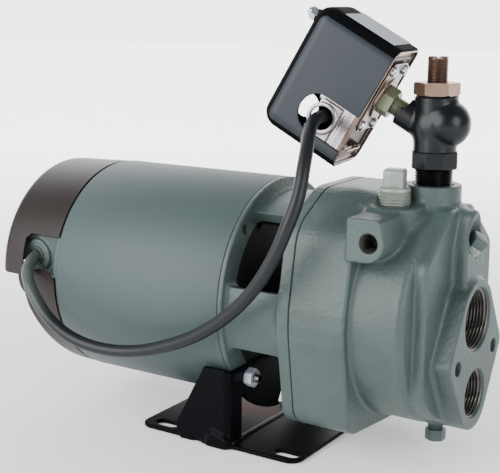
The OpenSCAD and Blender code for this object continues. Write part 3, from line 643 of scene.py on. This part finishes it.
g = Field((-200, -86, 14), (-134, 86, 186), step)
F = g.on_shaft(82.0, -142.2, -140.9, 0.3)
F = join(F, g.on_shaft(79.5, -147, -141, 1.0))
F = join(F, g.on_shaft(80.8, -142, -136, 0.3))
F = join(F, g.on_shaft(26, -154, -138, 1.5), 3)
F = cut(F, cut(g.on_shaft(76.5, -141, -120, 0.3), g.on_shaft(26, -150, -100, 0.3)))
# cord box: a pad with a tail that runs down the bell, and a boss round the cord
pad = g.hull([(-177, 126, 5), (-179, 104, 3), (-146, 131, 0.1), (-146, 101, 0.1)], "xz")
tail = g.hull([(-158, 104, 3), (-146, 110, 0.1), (-146, 90, 0.1), (-151, 94, 3)], "xz")
box = join(g.prism(pad, g.y, -68, -48, 1.2), g.prism(tail, g.y, -68, -48, 1.2), 3)
box = join(box, g.rod((CONDUIT_X, 0, CONDUIT_Z), (0, -1, 0), 13, 60, 70.4, 1.2), 1.5)
F = join(F, box, 2)
for y in (-CANOPY_SCREW_Y, CANOPY_SCREW_Y):
    F = join(F, g.on_shaft(5, -197.4, -146, 0.5, y=y, z=CANOPY_SCREW_Z), 2)
    F = cut(F, g.on_shaft(2.1, -200, -186, y=y, z=CANOPY_SCREW_Z))
F = cut(F, g.box((-179, -64.5, 104), (-148, -48, 128), 1))
F = cut(F, g.rod((CONDUIT_X, 0, CONDUIT_Z), (0, -1, 0), 6.6, 50, 80, 0.2))
F = cut(F, g.on_shaft(20, -151.2, -130))
F = cut(F, g.on_shaft(13, -160, -140))
for y, z in diagonal(VENT_CIRCLE):
    F = cut(F, g.on_shaft(12, -150, -130, y=y, z=SHAFT_H + z), 1)
for y, z in BOLTS:
    F = cut(F, g.on_shaft(3.3, -150, -130, y=y, z=SHAFT_H + z))
solid("rear bell", g, F, "cast", replaces="rear_end_bell", slot="green_paint")

QUARTER = [math.radians(90 * i / 8) for i in range(9)]
canopy = [(80.7, -143.6), (81.3, -143.3), (82.1, -143.6), (82.0, -146), (80.5, -192)]
canopy += [(74 + 6.5 * math.cos(a), -192.5 - 6.5 * math.sin(a)) for a in QUARTER[1:]]
canopy += [(0, -199), (0, -197.5)]
canopy += [(73.8 + 5.2 * math.cos(a), -192.3 - 5.2 * math.sin(a)) for a in QUARTER[::-1]]
can = lathe("canopy", X_AXIS, canopy, "canopy", cap=False, seg=256, sharp=40, replaces="rear_canopy",
            slot="canopy_paint")


def cutter(points, y0, y1):
    """Prism across the width, as a hidden tool for a boolean."""
    n = len(points)
    V = [(x, y0, z) for x, z in points] + [(x, y1, z) for x, z in points]
    F = [tuple(range(n)), tuple(range(2 * n - 1, n - 1, -1))]
    F += [(i, i + n, (i + 1) % n + n, (i + 1) % n) for i in range(n)]
    me = bpy.data.meshes.new("tool")
    me.from_pydata((np.array(V, float) / 1000).tolist(), [], outward(V, F))
    o = bpy.data.objects.new("tool", me)
    bpy.context.collection.objects.link(o)
    return o


def carve(target, tool):
    """Applies a boolean difference and drops the tool."""
    m = target.modifiers.new("carve", "BOOLEAN")
    m.operation, m.solver, m.object = "DIFFERENCE", "EXACT", tool
    dg = bpy.context.evaluated_depsgraph_get()
    me = bpy.data.meshes.new_from_object(target.evaluated_get(dg))
    target.modifiers.remove(m)
    old = target.data
    target.data = me
    bpy.data.meshes.remove(old)
    bpy.data.objects.remove(tool)


# open below the shaft, with a step and then a slope towards the bell
BELOW = [(-210, 107), (-197.6, 106), (-196.5, 103), (-193.5, 101.2), (-181, 101), (-180.8, 97),
         (-179.4, 91.5), (-177, 88.5), (-175.6, 87.5), (-174, 76), (-170, 62), (-165, 46), (-160, 33),
         (-154, 20), (-149, 10), (-149, 0), (-210, 0)]
NOTCH = [(-176.5, 106), (-166, 106), (-161, 108), (-150, 107), (-145.5, 103), (-142, 99.5), (-140, 99.5),
         (-140, 133), (-172, 133), (-176.5, 129)]
carve(can, cutter(BELOW, -100, 100))
carve(can, cutter(NOTCH, -90, -60))
can.data.set_sharp_from_angle(angle=math.radians(40))

# ---------------------------------------------------------------- foot
g = Field((-74, -80, -2), (68, 80, 62), step * 0.85)
plan = g.hull([(-60, -65, 10), (54, -65, 10), (-60, 65, 10), (54, 65, 10)], "xy")
F = g.prism(plan, g.z, 0, FOOT_T, 0.8)
for x in (-51, 51):
    for y in (-65, 65):
        F = cut(F, g.prism(g.hull([(x - 5, y, 4.5), (x + 5, y, 4.5)], "xy"), g.z, -5, 8, 0.2), 0.6)
rad = np.hypot(g.y, g.z - SHAFT_H)


def fold(out):
    """Upright sheet in plan, turned back on both sides with a round bend."""
    qx, qy = g.x - FOOT_X + g.zero, np.abs(g.y) - 71
    corner = np.hypot(np.maximum(qx, 0), np.maximum(qy, 0)) + np.minimum(np.maximum(qx, qy), 0)
    return (corner - out).astype(np.float32)


sheet = np.maximum(fold(2 * FOOT_T), -fold(FOOT_T))
side = g.hull([(5, 56.5, 1), (-10, 56.5, 1), (-34.5, 10, 1), (-31, 0.5, 0.5), (10, 0.5, 0.5), (10, 54, 1)],
              "xz")
wall = np.maximum(sheet, side)
# the wall is open low down, and round the shaft
low_hole = np.maximum(np.maximum(np.abs(g.y) - 60, 88 - rad), 3.2 - g.z)
shaft_hole = np.minimum(46 - rad, 10) + np.minimum(g.x - 7, 0) * 9
wall = np.maximum(np.maximum(wall, -np.maximum(low_hole, 7 - g.x)), shaft_hole)
F = join(F, (wall + g.zero).astype(np.float32), 2)
# bulge where each side sheet meets the plate at the front
bulge = g.hull([(-2, 6, 5), (7, 4, 4), (-6, 2, 2)], "xz")
F = join(F, g.prism(bulge, g.y, -79.2, -74, 1.8), 4)
F = join(F, g.prism(bulge, g.y, 74, 79.2, 1.8), 4)
F = np.maximum(F, -g.z)
for y, z in LOWER_BOLTS:
    F = cut(F, g.on_shaft(3.4, 0, 20, y=y, z=SHAFT_H + z))
    F = cut(F, g.rod((-17, math.copysign(82, y), -1), (0, 0, 1), 6.5, -5, 4, 0.2), 1)


# the brown patches below are primer painted lighter, as painted light on shaded surfaces
def foot_paint(c):
    """Thin brown primer on the plate behind the wall, and on the inside of the far side sheet, painted
    lighter to stand in for light that reaches these shaded places.
    """
    x, y, z = c.T
    far_sheet = (y > 70) & (y < 75) & (z > 5) & (x < 3)
    plate = (z > 2.6) & (z < 6) & (x < 6.5) & (x > -38) & (y > 0.5 * x - 13) & (y < 45)
    return (far_sheet | plate).astype(int)


solid("foot", g, F, ["foot", "foot_brown_painted_light"], paint=foot_paint, replaces="base_foot", slot="foot_paint")

# ---------------------------------------------------------------- regulator valve
Z_OUT = frame_of((OUTLET_X, 0, 0), (0, 0, 1), (0, 1, 0))
# the branch turns 8 degrees from the shaft and climbs 30; the switch sits square on its end
t8, t30 = math.radians(8), math.radians(30)
B_N = np.array((-math.cos(t30) * math.cos(t8), -math.cos(t30) * math.sin(t8), 0.5))
B_A = np.array((0.5 * math.cos(t8), 0.5 * math.sin(t8), math.cos(t30)))
B_Y = np.array((-math.sin(t8), math.cos(t8), 0.0))
SW = (np.array(BRANCH_AT, float), B_A, B_Y, B_N)


def on_switch(a, y, n, axis="n"):
    """Local frame on the switch with its w along n, a or y."""
    o = SW[0] + a * B_A + y * B_Y + n * B_N
    return {"n": (o, B_A, B_Y, B_N), "a": (o, B_Y, B_N, B_A), "y": (o, B_N, B_A, B_Y)}[axis]


VALVE_TOP = 247.4
g = Field((93, -20, 195), (152, 20, 250), 0.55)
body = g.upright(OUTLET_X, 0, 14.4, 200, VALVE_TOP, 0.6)
body = join(body, g.ball((131, 0, 229), 15.8), 2)
body = join(body, g.ball((120.5, 0, 227), 14.8), 2)
body = join(body, g.rod(BRANCH_AT, B_N, 10.4, 0, 27.5, 0.7), 1.5)
cone = np.hypot(g.x - OUTLET_X, g.y + g.zero) - (13.0 + np.maximum(VALVE_TOP - g.z, 0) * 0.8)
body = np.where(g.z > 239, np.maximum(body, np.where(g.x < 135, cone, body)), body)
body = np.maximum(body, g.z - VALVE_TOP)
body = cut(body, g.upright(OUTLET_X, 0, 10.5, 190, 240))
body = cut(body, g.upright(OUTLET_X, 0, 7.1, 230, 260))
body = cut(body, g.rod(BRANCH_AT, B_N, 5.8, 8, 40, 0.2), 0.6)
solid("valve body", g, body, "valve", replaces="regulator_body", slot="valve_paint")
# eight-sided collar under the body
a8 = np.arange(96) * 2 * math.pi / 96 + math.radians(20)
oct_r = 14.9 / np.cos((a8 + math.pi / 8) % (math.pi / 4) - math.pi / 8)
bore = np.full(96, 9.0)
V, Fc = rings(Z_OUT, [(oct_r - 0.8, 199.1), (oct_r, 200.0), (oct_r, 210.2), (oct_r - 0.8, 211.0),
                      (bore, 211.0), (bore, 199.1)], cap=False)
obj("valve collar", V, outward(V, Fc), "valve", sharp=25)
thread("valve nipple", Z_OUT, 11.6, 12.9, 177, 199.4, 1.81, "valve_black")
hexagon("valve lock nut", Z_OUT, 26.6, VALVE_TOP, 255.8, "bronze_nut", turn=math.radians(8), bore=7.0,
        replaces="regulator_locknut", slot="bronze")
thread("valve screw", Z_OUT, 6.45, 6.93, 231.1, 271.4, 1.41, "bronze", body="screw",
       replaces="regulator_screw", slot="bronze")
# the screw's end, as two halves with the slot between them
turn = math.radians(120)
SLOT_U = np.array((math.cos(turn), math.sin(turn), 0))
SLOT_V = np.array((-math.sin(turn), math.cos(turn), 0))
SLOT, TIP_R = 1.3, 6.5
for s in (-1, 1):
    n = 24
    a = np.linspace(math.asin(SLOT / TIP_R), math.pi - math.asin(SLOT / TIP_R), n)
    arc = [(TIP_R * math.cos(t), s * TIP_R * math.sin(t)) for t in a]
    V = [Z_OUT[0] + p * SLOT_U + q * SLOT_V + (0, 0, h) for h in (269.4, 272.2) for p, q in arc]
    top = [Z_OUT[0] + p * 0.92 * SLOT_U + (s * SLOT + (q - s * SLOT) * 0.92) * SLOT_V + (0, 0, 272.6)
           for p, q in arc]
    V = np.array(V + top)
    Fc = [tuple(range(n)), tuple(range(2 * n, 3 * n))]
    for k in (0, n):
        Fc += [(k + i, k + (i + 1) % n, k + n + (i + 1) % n, k + n + i) for i in range(n)]
    obj("valve screw tip", V, outward(V, Fc), "bronze", sharp=30, body="screw")

# ---------------------------------------------------------------- plugs
VP = frame_of((*VENT_AT, 0), (0, 0, 1), (0, 1, 0))
thread("vent plug thread", VP, 9.6, 11.0, 165, 186.6, 1.81, "galv", replaces="vent_plug", slot="galvanised")
lathe("vent plug neck", VP, [(9.0, 185.6), (10.4, 186.2), (10.6, 187.0), (10.2, 188.2), (8.4, 189.4),
                             (0, 189.6)], "galv")
block("vent plug head", turned(VP, 12), (-6.9, -6.9, 186.5), (6.9, 6.9, 200.6), 1.7, "galv")
FP = frame_of(PLUG_AT, PLUG, (0, 1, 0))
thread("front plug thread", FP, 5.8, 6.7, -10, 5.2, 1.41, "galv", seg=72)
block("front plug head", turned(FP, 45), (-5.2, -5.2, 4.5), (5.2, 5.2, 12.0), 0.9, "cast",
      replaces="front_plug", slot="green_paint")
DP = frame_of((DRAIN_X, 0, 0), (0, 0, 1), (0, 1, 0))
hexagon("drain plug head", DP, 12.5, 10, 18, "cast", replaces="drain_plug", slot="green_paint")
thread("drain plug shank", DP, 4.7, 5.3, 17, 31.4, 1.41, "cast", seg=48)

# ---------------------------------------------------------------- pressure switch
lo_a, hi_a, hb = -54.0, 37.0, 27.0      # the cover's two ends, and half its width
NUT_AT = (26, -16)
FLANGE_SCREWS = [(x, y) for x in (-21, 21) for y in (-12, 12)]
g = Field((-57, -30, 41), (41, 30, 108), 0.6, fr=SW)
outer = g.box((lo_a, -hb, 20), (hi_a, hb, 105.7), 11.5)
inner = g.box((lo_a + 1.5, -hb + 1.5, 18), (hi_a - 1.5, hb - 1.5, 104.2), 10)
F = np.maximum(outer, 43.2 - g.z)
F = cut(F, inner)
# the cord's openings: a U on the near side, a round hole on the far side
u_cut = g.hull([(-27.5, 69.5, 13.2), (-27.5, 30, 13.2)], "xz")
F = cut(F, g.prism(u_cut, g.y, -40, 0, 0.2), 0.4)
F = cut(F, g.across(-40.5, 93.5, 8.5, 5, 40), 0.4)
F = cut(F, g.rod((*NUT_AT, 90), (0, 0, 1), 2.6, 0, 20, 0.2))


def cover_paint(c):
    """Painted shade: darker paint over the rounded edges, the upper end and the closed end, which turn away
    from the light.
    """
    d = c - SW[0]
    side = (np.abs(d @ B_Y) > hb - 1.6) & (d @ B_A < hi_a - 6) & (d @ B_N < 100.2) & (d @ B_A > lo_a + 5)
    return np.where(side, 0, 1)


solid("switch cover", g, F, ["cover", "cover_edge_shade"], paint=cover_paint, replaces="switch_cover",
      slot="cover_paint")
block("switch label", on_switch(hi_a, 0, 0, "a"), (-19.5, 49, -0.05), (18, 88, 0.3), 0.12, "label", seg=1,
      slot="cover_paint")
CN = on_switch(*NUT_AT, 105.7)
hexagon("cover nut", CN, 8.5, 0, 4, "bright", replaces="switch_cover_nut", slot="zinc_plate")
lathe("cover nut dome", CN, [(3.6, 3.6), (3.6, 4.4), (3.2, 5.8), (2.2, 6.9), (0.7, 7.4)], "bright")
lathe("cover nut stud", CN, [(2.4, -8), (2.4, 0.5)], "bright")

# folded tray with a bead, and the flange of the pressure inlet under it
g = Field((-55, -30, 38), (39, 30, 79), 0.6, fr=SW)


def tray_slab(x0, x1, half, corner, z0, z1, r):
    """Slab with round corners, given by their centres and radius."""
    return g.prism(g.hull([(x, y, corner) for x in (x0, x1) for y in (-half, half)], "xy"), g.z, z0, z1, r)


F = tray_slab(-46.5, 29.5, 19.6, 5.5, 45.2, 46.6, 0.5)
rim = cut(tray_slab(-46, 29, 18.9, 6.4, 42.6, 52, 0.5), tray_slab(-46, 29, 18.9, 5, 30, 60, 0.3))
F = join(F, rim, 0.8)
bead = cut(tray_slab(-43, 26, 17.5, 4, 44.2, 46, 0.8), tray_slab(-41.5, 24.5, 16, 3, 30, 60, 0.3), 0.6)
F = join(F, bead, 0.6)
for z in (39.6, 42.2):
    F = join(F, g.across(-38, z, 0.8, -24, 1, 0.5), 0.3)
F = join(F, g.box((-41, -3, 39), (-35, -1.6, 46), 0.5), 0.5)
F = join(F, g.box((-44, -24.9, 44), (-13, -23.3, 72.5), 0.6), 1.5)
F = cut(F, g.across(-28, 65, 8.0, -40, -10), 0.5)
F = cut(F, g.upright(0, 0, 8, 40, 60))
F = cut(F, g.upright(20, 0, 3.1, 40, 60))
for y in (-9, 7.5):
    F = join(F, g.box((-18, y, 45), (-11, y + 1.5, 56.5), 0.5))
for x, y in FLANGE_SCREWS:
    F = cut(F, g.upright(x, y, 2.2, 30, 60, 0.1))


def tray_paint(c):
    """Zinc above the floor, and a brown stain on the floor's underside."""
    d = c - SW[0]
    n = d @ B_N
    floor_side = (n < 45.6) & (n > 43.4) & (np.abs(d @ B_Y) < 22) & (np.abs(d @ B_A + 7.6) < 39)
    return np.where(n > 46.2, 1, np.where(floor_side, 2, 0))


solid("switch tray", g, F, ["switch_steel", "white_zinc", "tray_brown"], paint=tray_paint,
      replaces="switch_base", slot="switch_steel")
g = Field((-30, -22, 39), (30, 22, 46), 0.5, fr=SW)
F = g.prism(g.hull([(-20, -12, 6), (20, -12, 6), (-20, 12, 6), (20, 12, 6)], "xy"), g.z, 42.6, 44.0, 0.5)
F = join(F, g.upright(0, 0, 15.5, 40.8, 44, 1.2), 2)
F = cut(F, g.upright(0, 0, 3, 30, 60, 0.1))
F = cut(F, g.upright(0, 0, 14, 43.2, 50, 0.1))
for x, y in FLANGE_SCREWS:
    F = cut(F, g.upright(x, y, 2.0, 30, 60, 0.1))
solid("switch flange", g, F, "switch_steel", replaces="switch_flange", slot="switch_steel")
HEAD = [(1.9, 49), (1.9, 42.8), (3.8, 42.7), (3.8, 41.6), (3.1, 40.5), (1.6, 40.0), (0, 39.9)]
for i, (x, y) in enumerate(FLANGE_SCREWS):
    lathe("flange screw", on_switch(x, y, 0), HEAD, "bright", seg=40,
          **stands_for("switch_flange_screws", i == 0))
NP = on_switch(0, 0, 0)
hexagon("switch nipple", NP, 18.5, 33.3, 40.9, "nipple", turn=math.radians(30), bore=3.0,
        replaces="switch_nipple", slot="nipple_plate")
thread("switch nipple thread", NP, 6.0, 6.7, 14, 33.6, 1.41, "nipple", seg=72)

# cable clamp: plate with a bead round its hole, a saddle bar, and two screws
CLAMP_SCREW_X, CLAMP_SCREW_Y = (-40, -16), -19.3
g = Field((-48, -32, 50), (-8, -12, 84), 0.45, fr=SW)
F = g.box((-40.4, -26.9, 55), (-15.6, -25.2, 70.4), 0.5)
F = join(F, g.across(-28, 65.2, 10.5, -27.8, -25.4, 0.8), 1.5)
F = join(F, g.box((-43, -22.9, 70.1), (-13, -15.9, 72.1), 0.6))
F = cut(F, g.across(-28, 65.2, 7.8, -40, -14, 0.1), 0.8)
for x in CLAMP_SCREW_X:
    F = cut(F, g.upright(x, CLAMP_SCREW_Y, 1.7, 60, 80, 0.1))
solid("cable clamp", g, F, "white_zinc", replaces="cable_clamp", slot="zinc_plate")
HEAD = [(1.6, 48), (1.6, 72.2), (3.3, 72.3), (3.3, 74.6), (2.7, 75.4), (0, 75.5)]
for i, x in enumerate(CLAMP_SCREW_X):
    lathe("clamp screw", on_switch(x, CLAMP_SCREW_Y, 0), HEAD, "bright", seg=40,
          **stands_for("clamp_screws", i == 0))

# ---------------------------------------------------------------- through bolt nuts
for i, (y, z) in enumerate(LOWER_BOLTS):
    fr = frame_of((11, y, SHAFT_H + z), (1, 0, 0))
    hexagon("bolt nut", fr, 12, 0, 6, "nut_zinc", turn=math.radians(8), bore=3.0,
            **stands_for("through_bolt_nuts", i == 0))
    thread("bolt end", fr, 2.5, 3.0, -2, 10, 1.0, "iron", seg=40)

# ---------------------------------------------------------------- cord and its bushing
ROUTE = [(-172, -60, 117.5), (-171, -71.5, 115), (-169.5, -78, 112.5), (-167, -84, 109.5),
         (-163.5, -89, 106), (-158.5, -93, 101.5), (-152.5, -96.5, 96), (-138.5, -99, 82),
         (-126, -98.5, 72.5), (-114, -97.5, 66.5), (-98, -96, 62.5), (-78, -95, 62), (-59, -94, 64.5),
         (-39.5, -94, 70), (-10, -94, 82.5), (15, -94.5, 98.5), (34.5, -96.5, 115.5), (49, -98.5, 132.5),
         (60, -99, 150.5), (67.5, -98, 168), (71.5, -94.5, 182), (72.5, -90, 193.5), (71.5, -84.5, 205),
         (69, -76.5, 215.5), (65, -67.5, 223), (61.5, -58, 228), (59, -47.5, 231.5), (57.5, -35, 232.5),
         (57, -22, 232)]


def smooth_line(P, per=6):
    """Smooth curve through the points, with per steps between each two."""
    P = np.array(P, float)
    out = []
    for i in range(len(P) - 1):
        a, b, c, d = P[max(i - 1, 0)], P[i], P[i + 1], P[min(i + 2, len(P) - 1)]
        for k in range(per):
            t = k / per
            out.append(0.5 * (2 * b + (c - a) * t + (2 * a - 5 * b + 4 * c - d) * t * t +
                              (3 * b - a - 3 * c + d) * t ** 3))
    out.append(P[-1])
    return np.array(out)


def tube(name, line, r, material, sides=24, **k):
    """Round cord of radius r along a line."""
    T = np.gradient(line, axis=0)
    T /= np.linalg.norm(T, axis=1)[:, None]
    s = np.cross(T[0], (0.3, 1, 0.1))
    s /= np.linalg.norm(s)
    V = []
    for p, t in zip(line, T):
        s = s - t * (s @ t)
        s /= np.linalg.norm(s)
        w = np.cross(t, s)
        for i in range(sides):
            a = 2 * math.pi * i / sides
            V.append(p + r * (math.cos(a) * s + math.sin(a) * w))
    n = len(line)
    F = [(i + j, i + (j + 1) % sides, i + sides + (j + 1) % sides, i + sides + j)
         for i in range(0, (n - 1) * sides, sides) for j in range(sides)]
    F += [tuple(range(sides))[::-1], tuple((n - 1) * sides + j for j in range(sides))]
    V = np.array(V)
    return obj(name, V, outward(V, F), material, sharp=50, **k)


line = smooth_line(ROUTE)
# green overspray on the cord, fading out along x away from the motor
nt = M["cord"].node_tree
where = nt.nodes.new("ShaderNodeSeparateXYZ")
nt.links.new(nt.nodes.new("ShaderNodeTexCoord").outputs["Object"], where.inputs["Vector"])
fade = nt.nodes.new("ShaderNodeMapRange")
fill(fade, {"From Min": -0.16, "From Max": -0.128, "To Min": 0.85, "To Max": 0.0})
nt.links.new(where.outputs["X"], fade.inputs["Value"])
spray = nt.nodes.new("ShaderNodeMix")
spray.data_type = "RGBA"
fill(spray, {"A": rgb(14, 18, 23), "B": rgb(74, 83, 79)})
nt.links.new(fade.outputs["Result"], spray.inputs["Factor"])
nt.links.new(spray.outputs["Result"], nt.nodes["Principled BSDF"].inputs["Base Color"])
cord = tube("cord", line, CORD_R, "cord", replaces="motor_cord", slot="cord_sheath")
BU = frame_of((CONDUIT_X, -60, CONDUIT_Z + 0.5), (0, -1, 0), (0, 0, 1))
lathe("strain relief", BU, [(5.0, -3), (6.4, -3), (6.4, 10), (7.0, 10.2), (7.1, 10.9), (6.7, 11.4),
                            (5.7, 11.8), (5.5, 13.4), (5.2, 14), (4.9, 14), (4.9, -3)], "bushing",
      cap=False, seg=64, replaces="motor_strain_relief", slot="bushing")

# ---------------------------------------------------------------- finishes of the CAD pieces kept
FINISH = {
    "steel": "stator_core rotor_core wave_washer shaft canopy_screws through_bolts casing_bolts "
             "governor_hub capacitor_strap seal_spring regulator_spring range_spring lever_pin range_nut",
    "bright": "front_bearing rear_bearing", "winding": "stator_windings", "alu": "rotor_cage",
    "phenolic": "governor_spool start_switch overload_protector contact_block",
    "plastic": "capacitor seal_cup impeller diffuser", "ceramic": "seal_seat", "carbon": "seal_head",
    "gasket": "body_gasket", "rubber": "slinger diffuser_oring regulator_seal switch_diaphragm",
    "brass": "regulator_piston regulator_cap contact_arm", "switch_steel": "switch_lever",
}
for m, names in FINISH.items():
    for n in names.split():
        if n in NODES:
            NODES[n].data.materials.clear()
            NODES[n].data.materials.append(M[m])

# ---------------------------------------------------------------- floor and light
bpy.ops.mesh.primitive_plane_add(size=12, location=(0, 0, -0.0005))
floor = bpy.context.object
floor.name = "floor"
pale = mat("floor", (250, 250, 250), 0.95, spec=0.1)
floor.data.materials.append(pale)
# the floor glows faintly away from the pump, towards the backdrop
nt = pale.node_tree
far = nt.nodes.new("ShaderNodeVectorMath")
far.operation = "DOT_PRODUCT"
nt.links.new(nt.nodes.new("ShaderNodeTexCoord").outputs["Object"], far.inputs[0])
far.inputs[1].default_value = (-math.sin(yaw), math.cos(yaw), 0)
glow = nt.nodes.new("ShaderNodeMapRange")
glow.interpolation_type = "SMOOTHSTEP"
fill(glow, {"From Min": -0.1, "From Max": 1.6, "To Min": 0.25, "To Max": 3.4})
nt.links.new(far.outputs["Value"], glow.inputs["Value"])
nt.links.new(glow.outputs["Result"], nt.nodes["Principled BSDF"].inputs["Emission Strength"])
nt.nodes["Principled BSDF"].inputs["Emission Color"].default_value = (1, 1, 1, 1)


def area(name, loc, target, size, power):
    """Round white area light that faces a point."""
    ld = bpy.data.lights.new(name, "AREA")
    ld.shape, ld.size, ld.energy, ld.color = "DISK", size, power, (1, 1, 1)
    o = bpy.data.objects.new(name, ld)
    bpy.context.collection.objects.link(o)
    o.location = loc
    o.rotation_euler = (Vector(target) - Vector(loc)).to_track_quat("-Z", "Y").to_euler()


area("key", (-0.7, -1.55, 0.8), (0, 0, 0.12), 1.7, 52)
area("fill", (1.5, -0.55, 0.6), (0.05, 0, 0.12), 1.0, 15)
world = bpy.data.worlds.new("world")
bpy.context.scene.world = world
world.use_nodes = True
nt = world.node_tree
# a bright backdrop behind the pump, and dimmer surroundings elsewhere
view = nt.nodes.new("ShaderNodeVectorMath")
view.operation = "DOT_PRODUCT"
nt.links.new(nt.nodes.new("ShaderNodeTexCoord").outputs["Generated"], view.inputs[0])
view.inputs[1].default_value = (-math.sin(yaw), math.cos(yaw), 0)
ramp = nt.nodes.new("ShaderNodeMapRange")
ramp.interpolation_type = "SMOOTHSTEP"
fill(ramp, {"From Min": 0.3, "From Max": 0.85, "To Min": 0.42, "To Max": 4.0})
nt.links.new(view.outputs["Value"], ramp.inputs["Value"])
nt.links.new(ramp.outputs["Result"], nt.nodes["Background"].inputs["Strength"])
nt.nodes["Background"].inputs["Color"].default_value = (0.97, 0.985, 1, 1)
